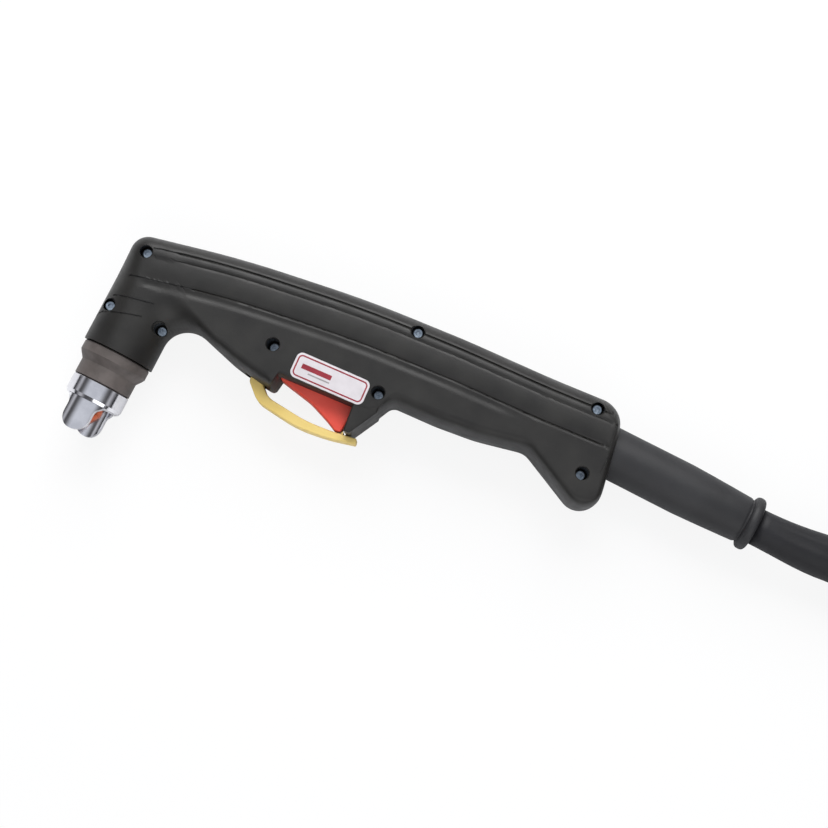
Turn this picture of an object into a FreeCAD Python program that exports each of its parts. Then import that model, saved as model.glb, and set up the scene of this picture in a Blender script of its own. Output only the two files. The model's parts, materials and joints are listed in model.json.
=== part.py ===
import FreeCAD, Part
import math
import os

from FreeCAD import Placement, Rotation, Vector

# Hand cutting torch lying on its side, millimetres.
# Everything is drawn in the handle frame: x runs back along the handle, y up to its
# back edge, and z = 0 is the parting plane of the two handle halves.  At the end all
# pieces are moved together, so that the origin is at the bottom centre of the torch.

# ---------------------------------------------------------------- driving dimensions
HALF = 18.0              # half the thickness of the handle
WALL = 2.8               # wall of the moulded halves
EDGE = 8.0               # outer edge rounding of the handle
REAR_X = 235.0           # rear end of the handle, where the boot comes out
HEAD_X, HEAD_Y = -5.6, 11.2      # centre of the head's open end
HEAD_TILT = 7.0          # lean of the head axis, degrees
HEAD_R = 17.9            # moulded sleeve around the head
HEAD_WALL = 2.6
RUN_FIT = 0.06           # radial clearance of turning and sliding fits
SEAT = 0.3               # clearance between pieces that only lie side by side

CAP_COLLAR_R = 17.0      # retaining cap, widest part
CAP_R = 14.3
CAP_NECK_R = 12.5        # the spacer sits on this neck
CAP_TOP = 0.4
CAP_COLLAR_END = 6.2
CAP_SHOULDER_END = 9.2
CAP_STEP = 16.5
CAP_END = 25.3
CAP_BORE_R = 10.8
CAP_MOUTH_R = 7.2
THREAD_R = 12.3          # brass thread of the head

SPACER_R = 14.4          # stand-off spacer
SPACER_END = 27.2
SPACER_FLOOR = 1.5
SPACER_HOLE_R = 8.6
PRONG_END = 42.0
PRONG_WIDTH = 13.4
PRONG_WALL = 2.2

NOZZLE_R = 9.8
NOZZLE_NOSE_R = 6.6
NOZZLE_END = 36.0
ORIFICE_R = 0.6
ELECTRODE_R = 4.6
EMITTER_R = 0.9
CATHODE_R = 6.0
NECK_R = 8.2             # head insulator between the two flank screws
NECK_TOP = -29.0
TUBE_R = 4.5             # brass gas and power tube
TUBE_Y = 54.0            # height of the tube and hose in the handle
TUBE_BORE_R = 2.4

SCREW_R = 1.5            # handle screws
SCREW_HEAD_R = 2.6
SCREW_HEAD = 2.0
SCREW_TIP = -9.0
WELL_R = 3.1
BOSS_R = 4.4

PIN_R = 1.6              # trigger and lever pins
PIN_HALF = 12.0
PIN_BOSS_R = 3.2
TRIGGER_PIVOT = (76.0, 31.0)
TRIGGER_HALF = 7.0
LEVER_PIVOT = (62.0, 26.5)
LEVER_HALF = 6.0
GUARD_HALF = 16.5
SPRING_R = 2.3           # torsion springs on the two pins
SPRING_WIRE = 0.35
SPRING_ROOM = 3.0

SWITCH_X, SWITCH_Y = 86.0, 37.6  # lower front corner of the switch
SWITCH_LENGTH, SWITCH_HEIGHT, SWITCH_HALF = 20.0, 10.0, 3.2
PLUNGER_X = 100.0
PLUNGER_R = 1.2

LABEL_LENGTH, LABEL_HEIGHT, LABEL_TURN = 37.5, 12.6, -3.7
LABEL_X, LABEL_Y = 96.0, 33.1
LABEL_THICK = 0.4

BOOT_Y = 47.3            # boot axis where it leaves the handle
BOOT_DROOP = 7.2         # slope of the boot, degrees
BOOT_LENGTH = 74.6
BOOT_ROOT_R = 12.6
BOOT_TIP_R = 11.3
BEAD_R = 13.4
BEAD_WIDTH = 4.9
JACKET_R = 8.8           # braided jacket inside the boot
JACKET_WALL = 1.0
JACKET_START = -36.0
HOSE_R = 5.2
HOSE_BORE_R = 3.0
HOSE_START_X = 62.0
PILOT_R = 2.0
LEAD_R = 0.9
HOSE_BEND_R = 300.0

CABLE_R = 11.0           # soft cable cover
COIL_INNER_R, COIL_OUTER_R, COIL_STEP_R = 29.0, 95.0, 51.0
COIL_LOW, COIL_HIGH = 4 * CABLE_R, 6 * CABLE_R
COIL_RUN = 140.0         # straight part of the long coil
COIL_X, COIL_Y = 160.6, 22.85    # middle of its first round end, from the end of the boot

PLUG_R = 18.0            # machine connector
PLUG_NUT_R = 19.0
PLUG_NECK_R = 14.5
PLUG_BOOT_LENGTH = 26.0
PLUG_LENGTH = 62.0
NUT_LENGTH = 25.5

SCREWS = [                # x, y, height of the seat under the head
    (-7.6, 60.6, 9.5),
    (-16.1, 31.3, 5.5),
    (11.2, 28.4, 2.5),
    (64.9, 39.2, 4.0),
    (119.6, 34.6, 4.0),
    (127.3, 68.6, 9.5),
    (REAR_X - 15.4, 63.2, 9.5),
    (REAR_X - 12.4, 31.5, 4.0),
]

# Free cable from the end of the boot: x and y from there, z above the bench.
LEAD = [
    (0.0, 0.0, 18.0),
    (21.6, -2.729, 18.0),
    (60.1, -2.5, 15.0),
    (130.0, -61.15, 11.05),
    (205.0, -61.15, 11.05),
]
TAIL = [
    (136.0, -39.15, 55.0),
    (178.0, -39.15, 55.2),
    (236.0, 22.85, 61.6),
    (277.0, 22.85, 63.3),
]

parts = {}


# ---------------------------------------------------------------------- small helpers
def unit(vector):
    return Vector(vector).normalize()


def bent_edges(points, radii, closed):
    """Straight runs joined by tangent arcs, one radius for each corner."""
    count = len(points)
    edges = []
    cursor = None
    first = None
    for i in range(count):
        here = points[i]
        inside = closed or 0 < i < count - 1
        radius = radii[i] if inside else 0.0
        if radius > 0.0:
            back = unit(points[i - 1] - here)
            on = unit(points[(i + 1) % count] - here)
            half = back.getAngle(on) / 2.0
            reach = radius / math.tan(half)
            start = here + back * reach
            end = here + on * reach
            middle = here + unit(back + on) * (radius / math.sin(half) - radius)
        else:
            start = here
            end = here
            middle = None
        if cursor is not None and cursor.distanceToPoint(start) > 1e-6:
            edges.append(Part.LineSegment(cursor, start).toShape())
        if cursor is None:
            first = start
        if middle is not None:
            edges.append(Part.Arc(start, middle, end).toShape())
        cursor = end
    if closed and cursor.distanceToPoint(first) > 1e-6:
        edges.append(Part.LineSegment(cursor, first).toShape())
    return edges


def outline(corners):
    """Closed face in the z = 0 plane from corners given as x, y and corner radius."""
    points = [Vector(c[0], c[1], 0) for c in corners]
    radii = [c[2] if len(c) > 2 else 0.0 for c in corners]
    return Part.Face(Part.Wire(bent_edges(points, radii, True)))


def prism(corners, low, high):
    face = outline(corners)
    face.translate(Vector(0, 0, low))
    return face.extrude(Vector(0, 0, high - low))


def inset(corners, amount):
    """The same corners moved inwards by a wall, for an outline listed clockwise."""
    moved = []
    count = len(corners)
    for i in range(count):
        x, y, radius = corners[i]
        x0, y0, _ = corners[i - 1]
        x1, y1, _ = corners[(i + 1) % count]
        before = unit(Vector(x - x0, y - y0, 0))
        after = unit(Vector(x1 - x, y1 - y, 0))
        normal_before = Vector(before.y, -before.x, 0)
        normal_after = Vector(after.y, -after.x, 0)
        shift = (normal_before + normal_after) * (amount / (1.0 + normal_before.dot(normal_after)))
        convex = before.cross(after).z < 0
        fitted = max(radius - amount, 0.0) if convex else radius + amount
        moved.append((x + shift.x, y + shift.y, fitted if radius > 0.0 else 0.0))
    return moved


def turned(profile):
    """Solid of revolution about local z from points given as radius and height."""
    points = [Vector(r, 0, h) for r, h in profile]
    wire = Part.makePolygon(points + points[:1])
    return Part.Face(wire).revolve(Vector(0, 0, 0), Vector(0, 0, 1), 360)


def ring(inner, outer, low, high):
    return turned([(inner, low), (outer, low), (outer, high), (inner, high)])


def rod(radius, start, end):
    direction = end - start
    return Part.makeCylinder(radius, direction.Length, start, direction)


def corner_radii(points):
    """Arc radii for a cable: 0.45 of the shorter run over the tangent of half the turn."""
    radii = [0.0]
    for i in range(1, len(points) - 1):
        back = points[i] - points[i - 1]
        on = points[i + 1] - points[i]
        run = min(back.Length, on.Length)
        radii.append(0.45 * run / math.tan(back.getAngle(on) / 2.0))
    return radii + [0.0]


def hose(points, radius, bore=0.0, radii=None):
    """Round tube along straight runs joined by arcs."""
    path = Part.Wire(bent_edges(points, radii or corner_radii(points), False))
    direction = unit(points[1] - points[0])
    solids = []
    for size in (radius, bore):
        if size > 0.0:
            circle = Part.Wire(Part.makeCircle(size, points[0], direction))
            solids.append(path.makePipeShell([circle], True, False))
    return solids[0].cut(solids[1]) if bore > 0.0 else solids[0]


def keep(name, shape):
    solids = shape.Solids
    parts[name] = solids[0] if len(solids) == 1 else Part.makeCompound(solids)


# ---------------------------------------------------------------------- local frames
lean = math.radians(HEAD_TILT)
HEAD_AXIS = Vector(-math.sin(lean), -math.cos(lean), 0)
HEAD_PLACE = Placement(Vector(HEAD_X, HEAD_Y, 0), Rotation(Vector(0, 0, 1), HEAD_AXIS))

droop = math.radians(BOOT_DROOP)
BOOT_AXIS = Vector(math.cos(droop), -math.sin(droop), 0)
BOOT_SIDE = Vector(math.sin(droop), math.cos(droop), 0)
BOOT_START = Vector(REAR_X, BOOT_Y, 0)
BOOT_PLACE = Placement(BOOT_START, Rotation(Vector(0, 0, 1), BOOT_AXIS))
EXIT = BOOT_START + BOOT_AXIS * BOOT_LENGTH


def on_head(shape):
    placed = shape.copy()
    placed.Placement = HEAD_PLACE.multiply(placed.Placement)
    return placed


def on_boot(shape):
    placed = shape.copy()
    placed.Placement = BOOT_PLACE.multiply(placed.Placement)
    return placed


def boot_point(along, side=0.0, z=0.0):
    return BOOT_START + BOOT_AXIS * along + BOOT_SIDE * side + Vector(0, 0, z)


def head_point(along, side=0.0, z=0.0):
    across = Vector(-HEAD_AXIS.y, HEAD_AXIS.x, 0)
    return Vector(HEAD_X, HEAD_Y, 0) + HEAD_AXIS * along + across * side + Vector(0, 0, z)


# ------------------------------------------------------------------- handle outlines
lip_left = head_point(0, -HEAD_R)
lip_right = head_point(0, HEAD_R)
front_top = head_point(-56.2, -HEAD_R)
recess = (15.6, 39.3, 12.6)

BACK_EDGE = [
    (36.0, 74.9, 500.0),
    (100.0, 76.6, 600.0),
    (150.0, 74.4, 500.0),
    (REAR_X - 40.0, 71.0, 500.0),
    (REAR_X - 2.4, 69.3, 13.0),
    (REAR_X + 1.4, 6.9, 10.0),
    (REAR_X - 40.4, 33.4, 10.0),
    (170.0, 30.9, 80.0),
    (150.0, 31.0, 100.0),
    (127.2, 32.6, 5.0),
]
SLOPE = [(50.0, 24.85, 60.0), recess]

silhouette = (
    [(lip_left.x, lip_left.y, 0.8), (front_top.x, front_top.y, 9.0)]
    + BACK_EDGE
    + [(113.3, 12.0, 0.6), (110.2, 12.0, 0.6), (110.2, 24.2, 0.0)]
    + [(72.3, 26.8, 0.0), (70.6, 19.6, 1.5), (64.8, 20.7, 1.5)]
    + SLOPE
    + [(lip_right.x, lip_right.y, 0.8)]
)
handle_body = (
    [(-3.0, 22.0, 0.0), (0.9, 70.95, 0.0)]
    + BACK_EDGE
    + [(121.8, 24.2, 0.0)]
    + SLOPE
    + [(13.4, 19.5, 0.0)]
)


def handle_solid():
    """Both halves as one solid lump, before it is hollowed."""
    body = prism(handle_body, -HALF, HALF)
    rims = []
    for edge in body.Edges:
        box = edge.BoundBox
        flat = abs(abs(box.ZMin) - HALF) < 1e-6 and box.ZLength < 1e-6
        if flat and box.XMax > 14.0 or flat and box.YMin > 70.0:
            rims.append(edge)
    body = body.makeFillet(EDGE, rims)
    sleeve = on_head(Part.makeCylinder(HEAD_R, 62.0, Vector(0, 0, -62.0)))
    lump = body.fuse(sleeve)
    guard = [(124.5, 30.5), (113.3, 12.0, 0.6), (110.2, 12.0, 0.6), (110.2, 30.0)]
    boss = [(73.0, 30.0), (70.6, 19.6, 1.5), (64.8, 20.7, 1.5), (56.0, 24.0), (56.0, 30.0)]
    for corners in (guard, boss):
        lump = lump.fuse(prism(corners, -GUARD_HALF, GUARD_HALF))
    return lump.common(prism(silhouette, -HALF, HALF))


def handle_cavity():
    """Hollow of both halves: two steps follow the rounded outer edge."""
    step = 0.5 * (EDGE - WALL)
    low = prism(inset(handle_body, WALL), WALL + step - HALF, HALF - WALL - step)
    high = prism(inset(handle_body, WALL + step), WALL - HALF, HALF - WALL)
    bore = Part.makeCylinder(HEAD_R - HEAD_WALL, 57.0, Vector(0, 0, -54.0))
    return low.fuse([high, on_head(bore)])


def box(x0, x1, y0, y1, z0, z1):
    return Part.makeBox(x1 - x0, y1 - y0, z1 - z0, Vector(x0, y0, z0))


def post(x, y, radius, low, high):
    return Part.makeCylinder(radius, high - low, Vector(x, y, low))


SLOT_HALF = TRIGGER_HALF + 0.4
LEVER_SLOT_HALF = LEVER_HALF + 0.4
INSIDE = HALF - WALL
HOSE_DROP = -1.8         # the hose lies below the jacket's axis, the pilot lead above
PILOT_RISE = 5.6
LEAD_RISE, LEAD_SIDE = 3.2, 5.5
CLAMP_AT = -30.0        # jacket clamp, from the rear of the handle
CLAMP_R = JACKET_R + 2.0
FLANGE_R = BOOT_ROOT_R + 1.4
FLANGE_INNER, FLANGE_OUTER = -9.0, -6.0    # along the boot axis from the rear face
SADDLE_R = BOOT_ROOT_R + 4.4
INSULATOR_R = HEAD_R - HEAD_WALL - SEAT
CRADLES = (HOSE_START_X + 60.0, HOSE_START_X + 84.0)     # ribs that hold the hose
SWITCH_PEGS = [(SWITCH_X + 3.5, SWITCH_Y + 6.0), (SWITCH_X + 16.5, SWITCH_Y + 6.0)]
PEG_R = 1.1


def handle_halves():
    lump = handle_solid()
    shell = lump.cut(handle_cavity())
    posts = [post(x, y, BOSS_R, 1.0 - HALF, HALF - 1.0) for x, y, _ in SCREWS]
    for x, y in (TRIGGER_PIVOT, LEVER_PIVOT):
        posts.append(post(x, y, PIN_BOSS_R, SLOT_HALF + SEAT, INSIDE + 1.0))
        posts.append(post(x, y, PIN_BOSS_R, -INSIDE - 1.0, -SLOT_HALF - SEAT))
    for x, y in SWITCH_PEGS:
        posts.append(post(x, y, 2.6, -INSIDE - 1.0, -SWITCH_HALF - 0.05))
        posts.append(post(x, y, PEG_R, -SWITCH_HALF - 0.1, SWITCH_HALF + 0.5))
    for x in CRADLES:
        cradle = box(x, x + 2.0, TUBE_Y - 12.0, TUBE_Y + 14.0, -INSIDE - 1.0, INSIDE + 1.0)
        posts.append(cradle)
    saddle = turned([(CLAMP_R, CLAMP_AT), (SADDLE_R, CLAMP_AT),
                     (SADDLE_R, CLAMP_AT + 2.0), (CLAMP_R, CLAMP_AT + 2.0)])
    posts.append(on_boot(saddle))
    collar = ring(NECK_R + SEAT, HEAD_R - 1.0, -15.0, -12.0 - SEAT)
    posts.append(on_head(collar))
    shell = shell.fuse([item.common(lump) for item in posts])

    cuts = [on_boot(ring(0.0, BOOT_ROOT_R + RUN_FIT, FLANGE_INNER - SEAT, 6.0))]
    cuts.append(on_boot(ring(0.0, FLANGE_R + SEAT, FLANGE_INNER - SEAT, FLANGE_OUTER + SEAT)))
    cuts.append(box(72.3, 111.6, 16.0, 36.0, -SLOT_HALF, SLOT_HALF))
    cuts.append(box(55.5, 67.8, 15.0, 33.0, -LEVER_SLOT_HALF, LEVER_SLOT_HALF))
    cuts.append(prism([(72.3, 26.8), (109.9, 24.2), (109.9, 15.0), (72.3, 15.0)], -HALF, HALF))
    for x in CRADLES:
        start = Vector(x - 1.0, TUBE_Y, 0)
        cuts.append(rod(HOSE_R + SEAT, start, start + Vector(4.0, 0, 0)))
        cuts.append(box(x - 1.0, x + 3.0, TUBE_Y - 2.0, TUBE_Y + 10.5, -8.8, 8.8))
    for x, y, seat in SCREWS:
        cuts.append(post(x, y, WELL_R, seat, HALF + 1.0))
        cuts.append(post(x, y, SCREW_R + 0.1, 0.0, seat))
        cuts.append(post(x, y, SCREW_R, SCREW_TIP - 0.5, 0.0))
    for x, y in (TRIGGER_PIVOT, LEVER_PIVOT):
        cuts.append(post(x, y, PIN_R, -PIN_HALF - 0.2, PIN_HALF + 0.2))
    cuts.append(label_shape(HALF - LABEL_THICK, HALF + 1.0, 0.15))
    for item in cuts:
        shell = shell.cut(item)

    reach = 400.0
    near = shell.common(box(-reach, reach, -reach, reach, 0.0, HALF + 5.0))
    far = shell.common(box(-reach, reach, -reach, reach, -HALF - 5.0, 0.0))
    biggest = [max(half.Solids, key=lambda solid: solid.Volume) for half in (near, far)]
    return biggest


def label_shape(low, high, extra):
    half_length = LABEL_LENGTH / 2.0 + extra
    half_height = LABEL_HEIGHT / 2.0 + extra
    corners = [(-half_length, -half_height, 3.0), (half_length, -half_height, 3.0),
               (half_length, half_height, 3.0), (-half_length, half_height, 3.0)]
    plate = prism(corners, low, high)
    plate.Placement = Placement(Vector(LABEL_X, LABEL_Y, 0), Rotation(Vector(0, 0, 1), LABEL_TURN))
    return plate


def handle_screws():
    solids = []
    for x, y, seat in SCREWS:
        screw = post(x, y, SCREW_HEAD_R, seat, seat + SCREW_HEAD)
        screw = screw.makeFillet(0.6, [screw.Edges[0]])
        screw = screw.fuse(post(x, y, SCREW_R, SCREW_TIP, seat))
        hexagon = [Vector(x + 1.3 * math.cos(math.radians(60 * i)),
                          y + 1.3 * math.sin(math.radians(60 * i)),
                          seat + SCREW_HEAD - 1.2) for i in range(6)]
        socket = Part.Face(Part.makePolygon(hexagon + hexagon[:1])).extrude(Vector(0, 0, 3))
        solids.append(screw.cut(socket))
    return Part.makeCompound(solids)


# ------------------------------------------------------------------------- torch head
def head_insulator():
    body = turned([
        (CATHODE_R, NECK_TOP), (NECK_R, NECK_TOP), (NECK_R, -12.0), (INSULATOR_R, -12.0),
        (INSULATOR_R, -0.1), (11.0, -0.1), (11.0, 7.0), (10.2, 7.0), (10.2, 10.4),
        (8.9, 10.4), (8.9, 12.2), (10.2, 12.2), (10.2, 13.0), (CATHODE_R, 13.0),
    ])
    return on_head(body)


def head_thread():
    profile = [(11.0, 0.3), (THREAD_R, 0.3)]
    pitch = 1.5
    for i in range(4):
        height = 0.8 + pitch * i
        profile += [(THREAD_R, height), (THREAD_R - 0.5, height + 0.4)]
        profile += [(THREAD_R - 0.5, height + 0.8), (THREAD_R, height + 1.2)]
    profile += [(THREAD_R, 6.9), (11.0, 6.9)]
    return on_head(turned(profile))


def cathode_body():
    return on_head(turned([
        (ELECTRODE_R, 6.0), (ELECTRODE_R, -3.0), (2.0, -3.0), (2.0, NECK_TOP - 1.0),
        (CATHODE_R, NECK_TOP - 1.0), (CATHODE_R, 6.0),
    ]))


def head_oring():
    return on_head(Part.makeTorus(9.75, 0.84, Vector(0, 0, 11.3), Vector(0, 0, 1)))


def electrode():
    blank = turned([
        (0.0, -2.6), (ELECTRODE_R - 0.02, -2.6), (ELECTRODE_R - 0.02, 15.0), (3.9, 15.5),
        (3.9, 25.5), (3.3, 27.0), (0.0, 27.0),
    ])
    return on_head(blank.cut(ring(0.0, EMITTER_R, 24.5, 28.0)))


def emitter():
    return on_head(ring(0.0, EMITTER_R, 24.5, 27.0))


def swirl_ring():
    body = ring(5.0, NOZZLE_R, 13.2, 17.0)
    for i in range(6):
        hole = Part.makeCylinder(0.6, 20.0, Vector(3.0, 0, 15.1), Vector(0, 1, 0))
        hole.rotate(Vector(0, 0, 0), Vector(0, 0, 1), 60.0 * i)
        body = body.cut(hole)
    return on_head(body)


def nozzle():
    seat = CAP_END - 1.8
    return on_head(turned([
        (6.0, 17.1), (NOZZLE_R, 17.1), (NOZZLE_R, seat - 0.1), (NOZZLE_NOSE_R, seat - 0.1),
        (NOZZLE_NOSE_R, NOZZLE_END - 5.0), (3.4, NOZZLE_END), (ORIFICE_R, NOZZLE_END),
        (ORIFICE_R, 30.5), (4.6, 28.6), (6.0, 26.0),
    ]))


def retaining_cap():
    seat = CAP_END - 1.8
    body = turned([
        (THREAD_R + 1.6, CAP_TOP), (CAP_COLLAR_R - 0.6, CAP_TOP), (CAP_COLLAR_R, CAP_TOP + 0.6),
        (CAP_COLLAR_R, CAP_COLLAR_END - 1.0), (CAP_COLLAR_R - 0.9, CAP_COLLAR_END + 0.5),
        (CAP_R + 0.4, CAP_SHOULDER_END - 0.6), (CAP_R, CAP_SHOULDER_END),
        (CAP_R, CAP_STEP), (CAP_NECK_R, CAP_STEP), (CAP_NECK_R, CAP_END - 0.6),
        (CAP_NECK_R - 0.6, CAP_END), (CAP_MOUTH_R, CAP_END), (CAP_MOUTH_R, seat),
        (CAP_BORE_R, seat), (CAP_BORE_R, 9.6), (THREAD_R + 1.6, 9.6),
    ])
    return on_head(body)


def cap_thread_insert():
    return on_head(ring(THREAD_R + RUN_FIT, THREAD_R + 1.6, CAP_TOP, 9.6))


def spacer():
    inner = CAP_NECK_R + RUN_FIT
    floor = SPACER_END - SPACER_FLOOR
    cup = turned([
        (inner, CAP_STEP + SEAT), (SPACER_R - 0.5, CAP_STEP + SEAT),
        (SPACER_R, CAP_STEP + SEAT + 0.5), (SPACER_R, SPACER_END - 2.4),
        (SPACER_R - 0.8, SPACER_END - 0.8), (SPACER_R - 2.4, SPACER_END),
        (SPACER_HOLE_R, SPACER_END), (SPACER_HOLE_R, floor), (inner, floor),
    ])
    outer = SPACER_R - 0.9
    tube = ring(outer - PRONG_WALL, outer, floor, PRONG_END)
    half = PRONG_WIDTH / 2.0
    root = SPACER_END - 0.6
    tongue = outline([(-half - 3.0, root), (-half, root + 3.5, 3.4), (-half, PRONG_END, half - 0.1),
                      (half, PRONG_END, half - 0.1), (half, root + 3.5, 3.4), (half + 3.0, root)])
    blade = tongue.extrude(Vector(0, 0, 60))
    blade.Placement = Placement(Vector(0, 30, 0), Rotation(Vector(1, 0, 0), 90))
    prongs = tube.common(blade)
    return on_head(cup.fuse(prongs))


def head_tube():
    start = head_point(NECK_TOP - 1.0)
    climb = (TUBE_Y - HEAD_Y) / math.cos(lean)
    corner = head_point(-climb)
    end = Vector(HOSE_START_X - 8.0, TUBE_Y, 0)
    return hose([start, corner, end], TUBE_R, TUBE_BORE_R, [0.0, 13.0, 0.0])


def tube_nut():
    start = HOSE_START_X - 22.0
    size = 7.2
    hexagon = [Vector(start, TUBE_Y + size * math.cos(math.radians(60 * i)),
                      size * math.sin(math.radians(60 * i))) for i in range(6)]
    body = Part.Face(Part.makePolygon(hexagon + hexagon[:1])).extrude(Vector(14.0, 0, 0))
    return body.cut(rod(TUBE_R + 0.04, Vector(start - 1, TUBE_Y, 0), Vector(start + 16, TUBE_Y, 0)))


def hose_barb():
    start = Vector(HOSE_START_X - 8.0, TUBE_Y, 0)
    face = Vector(HOSE_START_X - 0.2, TUBE_Y, 0)
    end = Vector(HOSE_START_X + 16.0, TUBE_Y, 0)
    body = rod(6.0, start, face).fuse(rod(HOSE_BORE_R - 0.04, face, end))
    return body.cut(rod(1.8, start, end))


def hose_ferrule():
    low = Vector(HOSE_START_X + 1.0, TUBE_Y, 0)
    high = Vector(HOSE_START_X + 17.0, TUBE_Y, 0)
    return rod(HOSE_R + 1.1, low, high).cut(rod(HOSE_R + 0.04, low, high))


def hose_corner(side, height):
    """Where a straight run in the handle meets the line at one side of the boot's axis."""
    rise = BOOT_Y + side / math.cos(droop)
    return Vector(REAR_X - (height - rise) / math.tan(droop), height, 0)


def power_hose():
    start = Vector(HOSE_START_X, TUBE_Y, 0)
    end = boot_point(BOOT_LENGTH, HOSE_DROP)
    corner = hose_corner(HOSE_DROP, TUBE_Y)
    return hose([start, corner, end], HOSE_R, HOSE_BORE_R, [0.0, HOSE_BEND_R, 0.0])


def pilot_terminal():
    lug = Part.makeCylinder(2.6, 2.2, Vector(0, 0, 0), Vector(0, 0, -1))
    lug.translate(Vector(0, 11.8, -12.0 - SEAT - 2.7))
    return on_head(lug)


def pilot_lead():
    start = head_point(-12.0 - SEAT - 2.7 - 2.2, 0.0, 0.0) + Vector(0, 0, 11.8)
    high = TUBE_Y + 7.6
    points = [
        start,
        Vector(-1.5, 46.0, 11.4),
        Vector(12.0, high - 1.0, 8.4),
        Vector(46.0, high + 0.6, 5.2),
        Vector(96.0, high, 1.4),
        hose_corner(PILOT_RISE, high - 0.2),
        boot_point(BOOT_LENGTH, PILOT_RISE),
    ]
    radii = corner_radii(points)
    radii[-2] = HOSE_BEND_R
    return hose(points, PILOT_R, 0.0, radii)


def switch_leads():
    solids = []
    for side in (-1.0, 1.0):
        points = [
            Vector(SWITCH_X + SWITCH_LENGTH + 3.0, SWITCH_Y + 7.0, 1.6 * side),
            Vector(SWITCH_X + 29.5, SWITCH_Y + 8.9, 4.5 * side),
            Vector(SWITCH_X + 35.5, TUBE_Y - 0.5, 7.4 * side),
            Vector(REAR_X - 74.0, TUBE_Y + 1.0, 7.4 * side),
            boot_point(-44.0, LEAD_RISE, LEAD_SIDE * side),
            boot_point(BOOT_LENGTH, LEAD_RISE, LEAD_SIDE * side),
        ]
        solids.append(hose(points, LEAD_R))
    return Part.makeCompound(solids)


# ------------------------------------------------------------- trigger, lever, switch
def trigger():
    px, py = TRIGGER_PIVOT
    corners = [
        (px - 3.1, py + 3.2, 3.0), (PLUNGER_X - 6.0, py + 1.5, 3.0),
        (PLUNGER_X - 2.5, SWITCH_Y - 3.6, 1.6), (PLUNGER_X + 2.5, SWITCH_Y - 3.6, 1.6),
        (PLUNGER_X + 4.5, py - 1.0, 3.0), (110.3, py - 3.0, 1.0), (110.1, 18.0, 20.0),
        (108.3, 12.0, 1.6), (105.4, 12.0, 1.2), (100.4, 15.2, 12.0), (90.0, 20.7, 30.0),
        (76.5, 25.0, 8.0), (px - 3.1, 26.2, 1.0),
    ]
    body = prism(corners, -TRIGGER_HALF, TRIGGER_HALF)
    hollow = [(84.0, 40.0), (PLUNGER_X - 5.5, 40.0), (PLUNGER_X - 5.5, 25.0), (84.0, 27.0)]
    body = body.cut(prism(hollow, 2.0 - TRIGGER_HALF, TRIGGER_HALF - 2.0))
    body = body.cut(post(px, py, SPRING_R + 1.8, TRIGGER_HALF - SPRING_ROOM, TRIGGER_HALF + 1))
    return body.cut(post(px, py, PIN_R + RUN_FIT, -TRIGGER_HALF - 1, TRIGGER_HALF + 1))


def pivot_pin(pivot):
    return post(pivot[0], pivot[1], PIN_R, -PIN_HALF, PIN_HALF)


def safety_lever():
    px, py = LEVER_PIVOT
    corners = [
        (px - 3.2, py + 3.2, 3.1), (px + 3.4, py + 3.2, 3.1), (65.4, 21.4, 3.0),
        (70.0, 16.0, 10.0), (91.0, 11.5, 60.0), (104.0, 11.1, 80.0), (108.9, 11.3, 0.0),
        (109.0, 12.7, 0.3), (109.8, 12.7, 0.3), (109.9, 11.4, 0.0), (117.0, 11.75, 0.8),
        (117.2, 8.95, 0.8), (104.0, 7.25, 80.0), (88.0, 6.95, 60.0), (66.0, 12.2, 10.0),
        (59.0, 20.3, 3.0),
    ]
    body = prism(corners, -LEVER_HALF, LEVER_HALF)
    body = body.cut(post(px, py, SPRING_R + 1.8, LEVER_HALF - SPRING_ROOM, LEVER_HALF + 1))
    return body.cut(post(px, py, PIN_R + RUN_FIT, -LEVER_HALF - 1, LEVER_HALF + 1))


def pin_spring(pivot, face):
    """Torsion coil around a pin, in the notch at one side of the lever or trigger."""
    helix = Part.makeHelix(0.8, 1.6, SPRING_R)
    section = Part.Wire(Part.makeCircle(SPRING_WIRE, Vector(SPRING_R, 0, 0), Vector(0, 1, 0)))
    coil = Part.Wire(helix.Edges).makePipeShell([section], True, True)
    coil.translate(Vector(pivot[0], pivot[1], face - 0.5 * SPRING_ROOM - 0.8))
    return coil


def switch_body():
    body = box(SWITCH_X, SWITCH_X + SWITCH_LENGTH, SWITCH_Y, SWITCH_Y + SWITCH_HEIGHT,
               -SWITCH_HALF, SWITCH_HALF)
    for x, y in SWITCH_PEGS:
        body = body.cut(post(x, y, PEG_R, -SWITCH_HALF - 1, SWITCH_HALF + 1))
    low = Vector(PLUNGER_X, SWITCH_Y - 1.0, 0)
    return body.cut(rod(PLUNGER_R + RUN_FIT, low, Vector(PLUNGER_X, SWITCH_Y + 7.2, 0)))


def switch_plunger():
    low = Vector(PLUNGER_X, SWITCH_Y - 3.6 + SEAT, 0)
    return rod(PLUNGER_R, low, Vector(PLUNGER_X, SWITCH_Y + 4.0, 0))


def switch_terminals():
    end = SWITCH_X + SWITCH_LENGTH
    return Part.makeCompound([
        box(end, end + 3.0, SWITCH_Y + 6.0, SWITCH_Y + 8.0, 1.6 * side - 0.4, 1.6 * side + 0.4)
        for side in (-1.0, 1.0)])


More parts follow.
